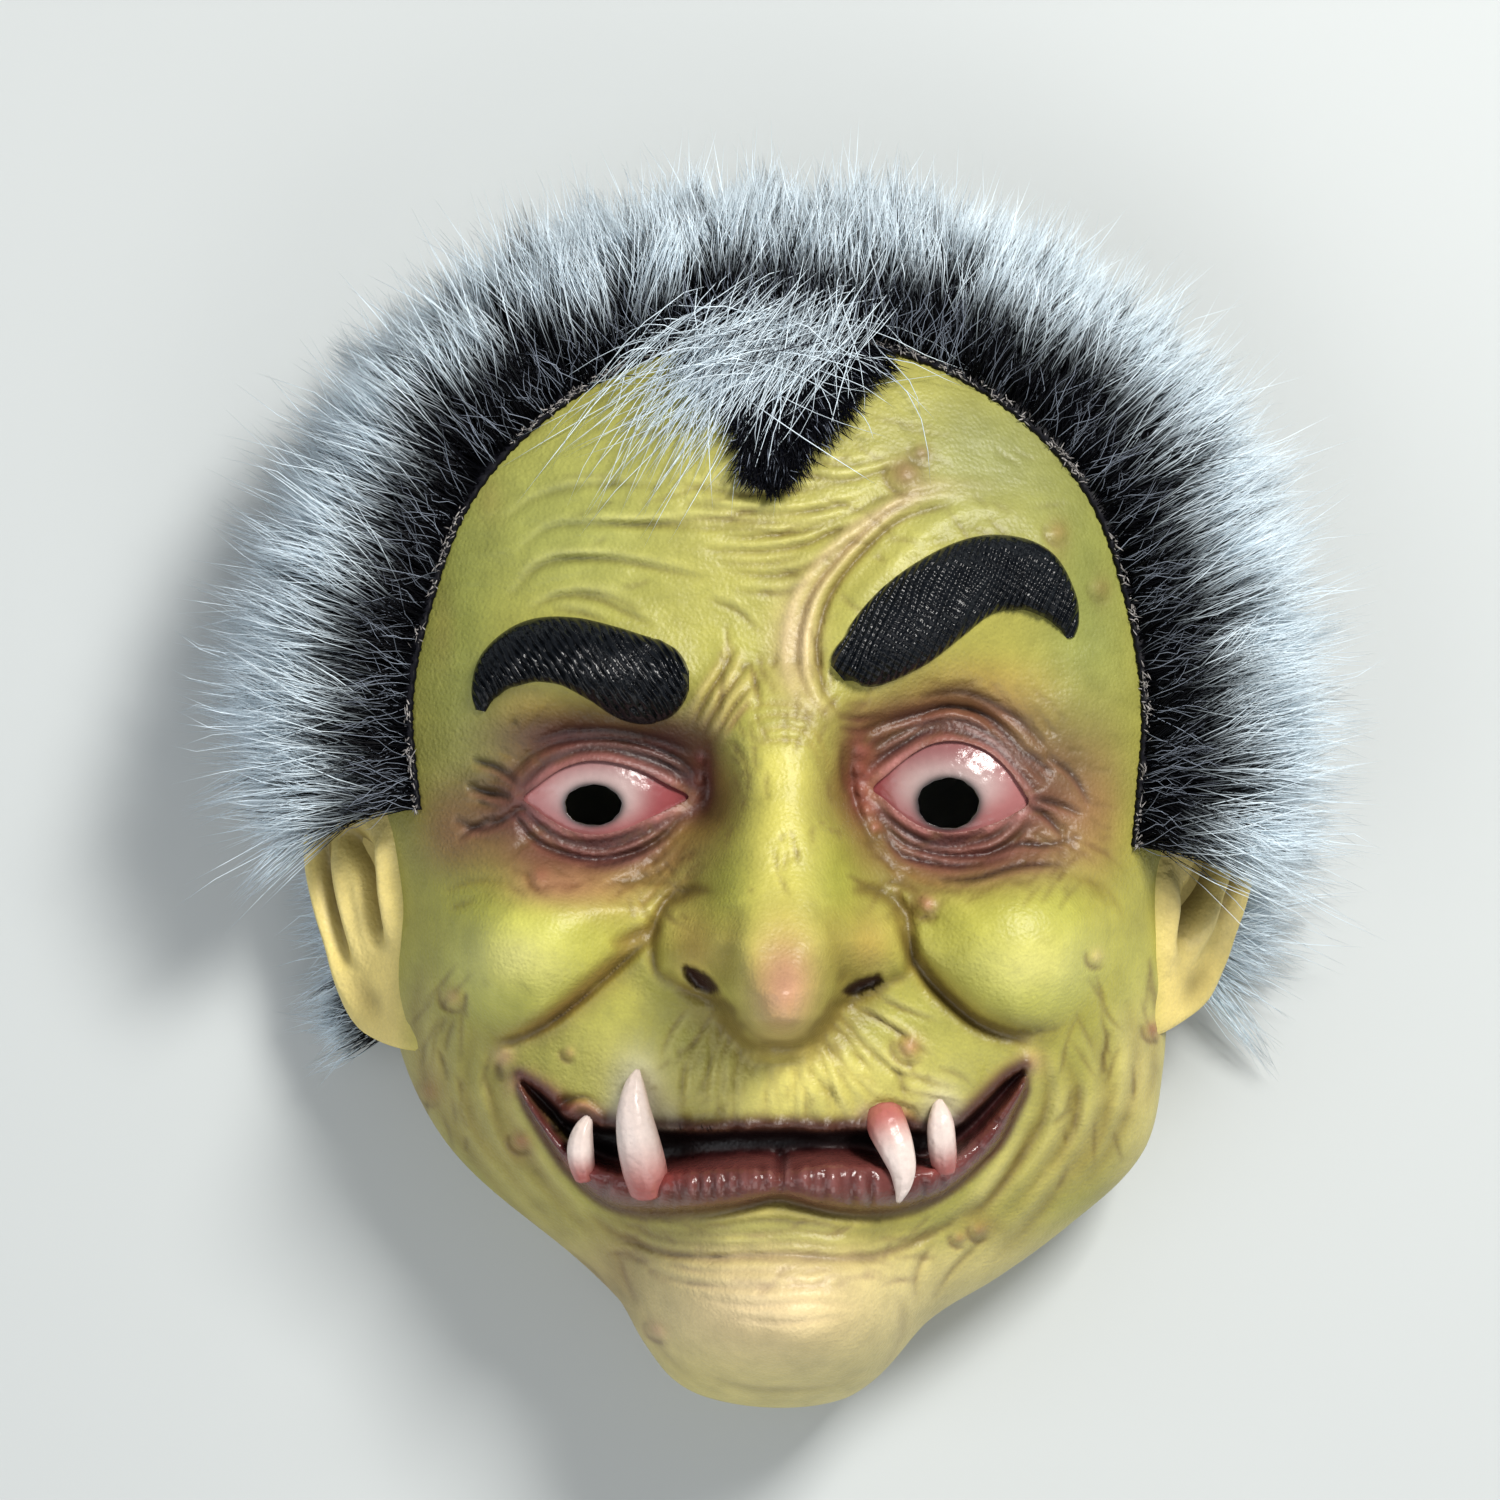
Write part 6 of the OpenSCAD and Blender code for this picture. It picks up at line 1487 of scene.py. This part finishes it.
# ---------------------------------------------------------------------------------------------------
# The anchor patches: squares of woven cotton tape glued inside both side walls with latex, where the
# rivets pull on the skin. Each is a sheet 0.9 mm thick that follows the wall.
patch_cloth, cloth_shader = new_finish("patch_cloth", Roughness=0.9, Specular_IOR_Level=0.15)
threads = finish_node(patch_cloth, "ShaderNodeUVMap").outputs["UV"]
warp = finish_node(patch_cloth, "ShaderNodeTexWave", Vector=threads, Scale=420.0, bands_direction="X", Distortion=0.6, Detail=1.0)
weft = finish_node(patch_cloth, "ShaderNodeTexWave", Vector=threads, Scale=420.0, bands_direction="Y", Distortion=0.6, Detail=1.0)
weave = finish_node(patch_cloth, "ShaderNodeMath", operation="MAXIMUM", i0=warp.outputs["Fac"], i1=weft.outputs["Fac"])
soil = finish_node(patch_cloth, "ShaderNodeTexNoise", Vector=threads, Scale=90.0, Detail=5.0)
tone = finish_node(patch_cloth, "ShaderNodeMix", data_type="RGBA", Factor=soil.outputs["Fac"], i6=(0.50, 0.45, 0.34, 1), i7=(0.70, 0.66, 0.56, 1))
shadow = finish_node(patch_cloth, "ShaderNodeMapRange", Value=weave.outputs[0], i3=0.55, i4=1.0)
lit = finish_node(patch_cloth, "ShaderNodeVectorMath", operation="SCALE", i0=tone.outputs[2], Scale=shadow.outputs[0])
connect(patch_cloth, lit.outputs[0], cloth_shader.inputs["Base Color"])
bump = finish_node(patch_cloth, "ShaderNodeBump", Height=weave.outputs[0], Distance=0.0004, Strength=0.8)
connect(patch_cloth, bump.outputs[0], cloth_shader.inputs["Normal"])


def add_uv(thing, uv):
    """A UV map from one row of u and v (metres) for each vertex."""
    mesh = thing.data
    corner = np.empty(len(mesh.loops), np.int32)
    mesh.loops.foreach_get("vertex_index", corner)
    mesh.uv_layers.new(name="UVMap").data.foreach_set("uv", np.asarray(uv, np.float32)[corner].ravel())


def slab(name, front, back, uv=None):
    """A closed slab between two like grids of points, joined round their borders."""
    rows, cols = front.shape[:2]
    n = rows * cols
    quads = [grid_faces(rows, cols), grid_faces(rows, cols, n, turned=True)]
    i, j = np.arange(rows - 1) * cols, np.arange(cols - 1)
    for line, step, flip in ((i, cols, False), (i + cols - 1, cols, True), (j, 1, True), (j + (rows - 1) * cols, 1, False)):
        face = np.stack((line, line + step, line + step + n, line + n), -1)
        quads.append(face[:, ::-1] if flip else face)
    thing = fast_mesh(name, np.vstack((front.reshape(-1, 3), back.reshape(-1, 3))), np.vstack(quads))
    if uv is not None:
        add_uv(thing, np.vstack((uv.reshape(-1, 2), uv.reshape(-1, 2))))
    return thing


for side, middle_angle, flat in (("left", 176.0, (0.0272, 0.0206)), ("right", 4.0, (0.0270, 0.0206))):
    frayed = 0.12 * np.sin(np.arange(46) * 2.4)
    a = middle_angle + np.linspace(-9, 9, 46)[None] + 0 * np.linspace(0, 1, 34)[:, None]
    t = np.linspace(1.12, 1.9, 34)[:, None] + 0.004 * frayed[None] * np.linspace(-1, 1, 34)[:, None]
    normal = head_normal(a, t)
    wrinkle = 0.10 * np.sin(a * 1.3 + t * 9) * np.sin(t * 14)
    near_skin = head_place(a, t) - (skin_t + 0.5) * normal
    far = head_place(a, t) - (skin_t + 1.36 + wrinkle)[..., None] * normal
    uv = np.stack((np.radians(a) * 0.0866, (2 - t) * 0.0264), -1)
    patch = slab(f"anchor_cloth_{side}", far, near_skin, uv)
    patch.data.materials.append(patch_cloth)
    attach(patch, "mask")
    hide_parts(f"anchor_patch_{side}")


# ---------------------------------------------------------------------------------------------------
# The rivets: nickel-plated tubular rivets with domed heads, set through skin, patch and strap. Each is
# a profile of distance along X and radius, turned round its own axis.
rivet_y, rivet_z = 6.0, 12.0
nickel, nickel_shader = new_finish("rivet_nickel", Metallic=1.0, Roughness=0.3)
place = finish_node(nickel, "ShaderNodeTexCoord").outputs["Object"]
smear = finish_node(nickel, "ShaderNodeTexNoise", Vector=place, Scale=420.0, Detail=6.0)
tone = finish_node(nickel, "ShaderNodeMix", data_type="RGBA", Factor=smear.outputs["Fac"], i6=(0.40, 0.38, 0.34, 1), i7=(0.66, 0.64, 0.60, 1))
connect(nickel, tone.outputs[2], nickel_shader.inputs["Base Color"])
worn = finish_node(nickel, "ShaderNodeMapRange", Value=smear.outputs["Fac"], i1=0.3, i2=0.7, i3=0.2, i4=0.46)
connect(nickel, worn.outputs[0], nickel_shader.inputs["Roughness"])
scratch = finish_node(nickel, "ShaderNodeBump", Height=smear.outputs["Fac"], Distance=0.0001, Strength=0.4)
connect(nickel, scratch.outputs[0], nickel_shader.inputs["Normal"])
for side, sign, head_x in (("left", -1, 76.6), ("right", 1, 73.0)):
    profile = np.array([(head_x - 1.5, 0.02), (head_x - 1.5, 1.3), (head_x - 1.42, 2.6), (head_x - 1.2, 3.7), (head_x - 0.75, 4.35), (head_x - 0.3, 4.5),
                        (head_x - 0.05, 4.42), (head_x, 4.2), (head_x, 1.9), (78.4, 1.9), (78.4, 4.3), (78.55, 4.45), (79.2, 4.45), (79.4, 4.3), (79.4, 1.9),
                        (89.4, 1.9), (89.4, 4.3), (89.5, 4.45), (89.8, 4.5), (90.2, 4.3), (90.55, 3.6), (90.8, 2.6), (90.92, 1.3), (90.95, 0.02)])
    theta = np.linspace(0, 2 * np.pi, 48, endpoint=False)
    ring = np.stack((np.broadcast_to(sign * profile[:, :1], (len(profile), 48)), rivet_y + profile[:, 1:] * np.cos(theta), rivet_z + profile[:, 1:] * np.sin(theta)), -1)
    points = np.vstack(([(sign * profile[0, 0], rivet_y, rivet_z)], ring.reshape(-1, 3), [(sign * profile[-1, 0], rivet_y, rivet_z)]))
    quads, triangles = lens(len(profile), 48)
    if sign > 0:
        quads, triangles = quads[:, ::-1], triangles[:, ::-1]
    rivet = fast_mesh(f"rivet_turned_{side}", points, quads, triangles)
    rivet.data.materials.append(nickel)
    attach(rivet, "mask")
    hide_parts(f"rivet_{side}")


# ---------------------------------------------------------------------------------------------------
# The strap and the ring's tab: one flat braided elastic, ribbed along its length, on edge from the
# left rivet round the back of the head to the ring and back through the slider, and a loop of cotton
# webbing on the right rivet. Both are a flat rounded section carried along a line.
band_w, band_t, band_z = 16.0, 1.2, 12.0


def arc_line(cx, cy, r, a0, a1, n=18):
    a = np.radians(np.linspace(a0, a1, n))
    return np.stack((cx + r * np.cos(a), cy + r * np.sin(a)), -1)


def straight(x0, y0, x1, y1, step=1.2):
    n = max(3, int(math.hypot(x1 - x0, y1 - y0) / step))
    t = np.linspace(0, 1, n)[:, None]
    return np.array((x0, y0)) * (1 - t) + np.array((x1, y1)) * t


def band(name, parts, round_start, round_end, ribs, rib_h):
    """A band on edge along a level line: its section is flat with rounded edges and fine ribs, and an
    end may be cut to a half circle as wide as the band."""
    line = np.vstack(parts)
    keep = np.concatenate(([True], np.hypot(*np.diff(line, axis=0).T) > 1e-6))
    line = line[keep]
    run = np.concatenate(([0], np.cumsum(np.hypot(*np.diff(line, axis=0).T))))
    total, half = run[-1], band_w / 2
    where = np.unique(np.concatenate((np.linspace(0, total, int(total / 1.3)), half * (1 - np.cos(np.linspace(0, np.pi / 2, 12))) if round_start else [0],
                                      total - half * (1 - np.cos(np.linspace(0, np.pi / 2, 12))) if round_end else [total])))
    x, y = np.interp(where, run, line[:, 0]), np.interp(where, run, line[:, 1])
    tangent = unit(np.column_stack((np.gradient(x, where), np.gradient(y, where))))
    side_way = np.column_stack((-tangent[:, 1], tangent[:, 0]))
    width = np.full(len(where), half)
    if round_start:
        width = np.minimum(width, np.sqrt(np.clip(half**2 - np.clip(half - where, 0, None) ** 2, 0.3, None)))
    if round_end:
        width = np.minimum(width, np.sqrt(np.clip(half**2 - np.clip(half - (total - where), 0, None) ** 2, 0.3, None)))
    v = np.linspace(-1, 1, ribs * 4 + 1)
    thick = (band_t / 2) * (1 - np.abs(v) ** 10) ** 0.5 - rib_h * (0.5 - 0.5 * np.cos(2 * np.pi * ribs * (v + 1) / 2))
    thick = np.clip(thick, 0.05, None)
    ring_v = np.concatenate((v, v[::-1][1:-1]))
    ring_h = np.concatenate((thick, -thick[::-1][1:-1]))
    ring_h[[0, len(v) - 1]] = 0
    points = np.empty((len(where), len(ring_v), 3))
    points[..., :2] = np.stack((x, y), -1)[:, None] + side_way[:, None] * ring_h[None, :, None]
    points[..., 2] = band_z + width[:, None] * ring_v[None]
    n, m = points.shape[:2]
    k = np.arange(m)
    i = np.arange(n - 1)[:, None]
    quads = np.stack((i * m + k, i * m + (k + 1) % m, (i + 1) * m + (k + 1) % m, (i + 1) * m + k), -1).reshape(-1, 4)
    cap = np.stack((np.zeros(m, int) + n * m, (k + 1) % m, k), -1)
    cap_end = np.stack((np.zeros(m, int) + n * m + 1, (n - 1) * m + k, (n - 1) * m + (k + 1) % m), -1)
    ends = np.vstack((points[0].mean(0), points[-1].mean(0)))
    thing = fast_mesh(name, np.vstack((points.reshape(-1, 3), ends)), quads, np.vstack((cap, cap_end)))
    uv = np.stack((np.broadcast_to(where[:, None], (n, m)), width[:, None] * ring_v[None] + 40 * (np.arange(m) >= len(v))[None]), -1).reshape(-1, 2)
    add_uv(thing, np.vstack((uv, uv[:1], uv[-1:])) * MM)
    return thing


elastic, elastic_shader = new_finish("braided_elastic", Roughness=0.72, Specular_IOR_Level=0.25)
yarn = finish_node(elastic, "ShaderNodeUVMap").outputs["UV"]
slant = finish_node(elastic, "ShaderNodeMapping", Vector=yarn, Rotation=(0, 0, math.radians(52)))
other = finish_node(elastic, "ShaderNodeMapping", Vector=yarn, Rotation=(0, 0, math.radians(-52)))
first = finish_node(elastic, "ShaderNodeTexWave", Vector=slant.outputs[0], Scale=330.0, bands_direction="X", Distortion=0.3)
second = finish_node(elastic, "ShaderNodeTexWave", Vector=other.outputs[0], Scale=330.0, bands_direction="X", Distortion=0.3)
braid = finish_node(elastic, "ShaderNodeMath", operation="MAXIMUM", i0=first.outputs["Fac"], i1=second.outputs["Fac"])
fluff = finish_node(elastic, "ShaderNodeTexNoise", Vector=yarn, Scale=700.0, Detail=4.0)
tone = finish_node(elastic, "ShaderNodeMix", data_type="RGBA", Factor=braid.outputs[0], i6=(0.008, 0.008, 0.009, 1), i7=(0.034, 0.034, 0.038, 1))
lint = finish_node(elastic, "ShaderNodeMapRange", Value=fluff.outputs["Fac"], i1=0.35, i2=0.75, i3=0.75, i4=1.7)
lit = finish_node(elastic, "ShaderNodeVectorMath", operation="SCALE", i0=tone.outputs[2], Scale=lint.outputs[0])
connect(elastic, lit.outputs[0], elastic_shader.inputs["Base Color"])
bump = finish_node(elastic, "ShaderNodeBump", Height=braid.outputs[0], Distance=0.0003, Strength=0.8)
connect(elastic, bump.outputs[0], elastic_shader.inputs["Normal"])
strap = band("strap_braid", (straight(-77.5, -2, -77.5, 34), arc_line(-63.5, 34, 14, 180, 90), straight(-63.5, 48, 63.5, 48), arc_line(63.5, 34, 14, 90, 0),
                             straight(77.5, 34, 77.5, 30), arc_line(75.7, 30, 1.8, 0, -180, 12), straight(73.9, 30, 73.9, 34), arc_line(63.5, 34, 10.4, 0, 90),
                             straight(63.5, 44.4, -34, 44.4)), True, False, 14, 0.10)
strap.data.materials.append(elastic)
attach(strap, "strap")
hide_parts("elastic_strap")

webbing, webbing_shader = new_finish("tab_webbing", Roughness=0.85, Specular_IOR_Level=0.2)
yarn = finish_node(webbing, "ShaderNodeUVMap").outputs["UV"]
warp = finish_node(webbing, "ShaderNodeTexWave", Vector=yarn, Scale=300.0, bands_direction="Y", Distortion=0.4)
weft = finish_node(webbing, "ShaderNodeTexWave", Vector=yarn, Scale=420.0, bands_direction="X", Distortion=0.5)
weave = finish_node(webbing, "ShaderNodeMath", operation="MULTIPLY", i0=warp.outputs["Fac"], i1=weft.outputs["Fac"])
tone = finish_node(webbing, "ShaderNodeMix", data_type="RGBA", Factor=weave.outputs[0], i6=(0.012, 0.012, 0.014, 1), i7=(0.052, 0.051, 0.056, 1))
connect(webbing, tone.outputs[2], webbing_shader.inputs["Base Color"])
bump = finish_node(webbing, "ShaderNodeBump", Height=weave.outputs[0], Distance=0.0004, Strength=0.9)
connect(webbing, bump.outputs[0], webbing_shader.inputs["Normal"])
tab = band("ring_tab_webbing", (straight(77.5, -2, 77.5, 21), arc_line(75.7, 21, 1.8, 0, 180, 12), straight(73.9, 21, 73.9, -2)), True, True, 9, 0.07)
tab.data.materials.append(webbing)
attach(tab, "strap")
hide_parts("ring_tab")


# ---------------------------------------------------------------------------------------------------
# The ring: a rectangle of bent steel wire, welded shut on one long side, that joins the tab to the
# elastic. It is a round section carried along a rounded rectangle that stands on edge.
wire_r, ring_x = 1.1, 75.7
corner = 1.6
y0, y1, z0, z1 = 21.0, 30.0, 2.7, 21.3
loop = np.vstack((arc_line(y1 - corner, z1 - corner, corner, 0, 90, 8), arc_line(y0 + corner, z1 - corner, corner, 90, 180, 8),
                  arc_line(y0 + corner, z0 + corner, corner, 180, 270, 8), arc_line(y1 - corner, z0 + corner, corner, 270, 360, 8),
                  straight(y1, z0 + corner, y1, z1 - corner, 0.6)[1:-1]))
tangent = unit(np.roll(loop, -1, 0) - np.roll(loop, 1, 0))
outward = np.column_stack((tangent[:, 1], -tangent[:, 0]))
theta = np.linspace(0, 2 * np.pi, 20, endpoint=False)
swell = wire_r * (1 + 0.14 * np.exp(-(((loop[:, 1] - 12) / 0.8) ** 2)) * (loop[:, 0] > 28))
points = np.empty((len(loop), 20, 3))
points[..., 0] = ring_x + swell[:, None] * np.sin(theta)
points[..., 1:] = loop[:, None] + (swell[:, None] * np.cos(theta))[..., None] * outward[:, None]
n, k = len(loop), np.arange(20)
i = np.arange(n)[:, None]
quads = np.stack((i * 20 + k, i * 20 + (k + 1) % 20, ((i + 1) % n) * 20 + (k + 1) % 20, ((i + 1) % n) * 20 + k), -1).reshape(-1, 4)
ring = fast_mesh("ring_wire", points, quads[:, ::-1])
steel, steel_shader = new_finish("ring_steel", Metallic=1.0, Roughness=0.25)
place = finish_node(steel, "ShaderNodeTexCoord").outputs["Object"]
drawn = finish_node(steel, "ShaderNodeTexNoise", Vector=place, Scale=520.0, Detail=5.0)
tone = finish_node(steel, "ShaderNodeMix", data_type="RGBA", Factor=drawn.outputs["Fac"], i6=(0.36, 0.36, 0.37, 1), i7=(0.62, 0.62, 0.63, 1))
connect(steel, tone.outputs[2], steel_shader.inputs["Base Color"])
dull = finish_node(steel, "ShaderNodeMapRange", Value=drawn.outputs["Fac"], i1=0.3, i2=0.7, i3=0.18, i4=0.4)
connect(steel, dull.outputs[0], steel_shader.inputs["Roughness"])
ring.data.materials.append(steel)
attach(ring, "strap")
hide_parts("strap_ring")


# ---------------------------------------------------------------------------------------------------
# The slider: a moulded black plastic sleeve with two slots and a bar between them, which grips both
# layers of the elastic. Its moulded corners are rounded over half a millimetre.
slider_plastic, plastic_shader = new_finish("slider_plastic", Roughness=0.38, Specular_IOR_Level=0.5)
place = finish_node(slider_plastic, "ShaderNodeTexCoord").outputs["Object"]
spark = finish_node(slider_plastic, "ShaderNodeTexNoise", Vector=place, Scale=1400.0, Detail=3.0)
haze = finish_node(slider_plastic, "ShaderNodeTexNoise", Vector=place, Scale=160.0, Detail=5.0)
tone = finish_node(slider_plastic, "ShaderNodeMix", data_type="RGBA", Factor=haze.outputs["Fac"], i6=(0.010, 0.010, 0.011, 1), i7=(0.026, 0.026, 0.028, 1))
connect(slider_plastic, tone.outputs[2], plastic_shader.inputs["Base Color"])
dull = finish_node(slider_plastic, "ShaderNodeMapRange", Value=haze.outputs["Fac"], i1=0.3, i2=0.7, i3=0.28, i4=0.5)
connect(slider_plastic, dull.outputs[0], plastic_shader.inputs["Roughness"])
bump = finish_node(slider_plastic, "ShaderNodeBump", Height=spark.outputs["Fac"], Distance=0.00008, Strength=0.5)
connect(slider_plastic, bump.outputs[0], plastic_shader.inputs["Normal"])
sleeve = bpy.data.objects.new("slider_sleeve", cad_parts["strap_slider"].data.copy())
bpy.context.collection.objects.link(sleeve)
shell = bmesh.new()
shell.from_mesh(sleeve.data)
bmesh.ops.remove_doubles(shell, verts=shell.verts, dist=1e-6)
bmesh.ops.dissolve_limit(shell, angle_limit=0.01, verts=shell.verts, edges=shell.edges)
shell.to_mesh(sleeve.data)
shell.free()
sleeve.data.shade_flat()
eased = sleeve.modifiers.new("eased_edges", "BEVEL")
eased.width, eased.segments, eased.limit_method, eased.angle_limit = 0.45 * MM, 3, "ANGLE", 0.6
made(sleeve)
sleeve.data.materials.clear()
sleeve.data.materials.append(slider_plastic)
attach(sleeve, "slider")
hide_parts("strap_slider")
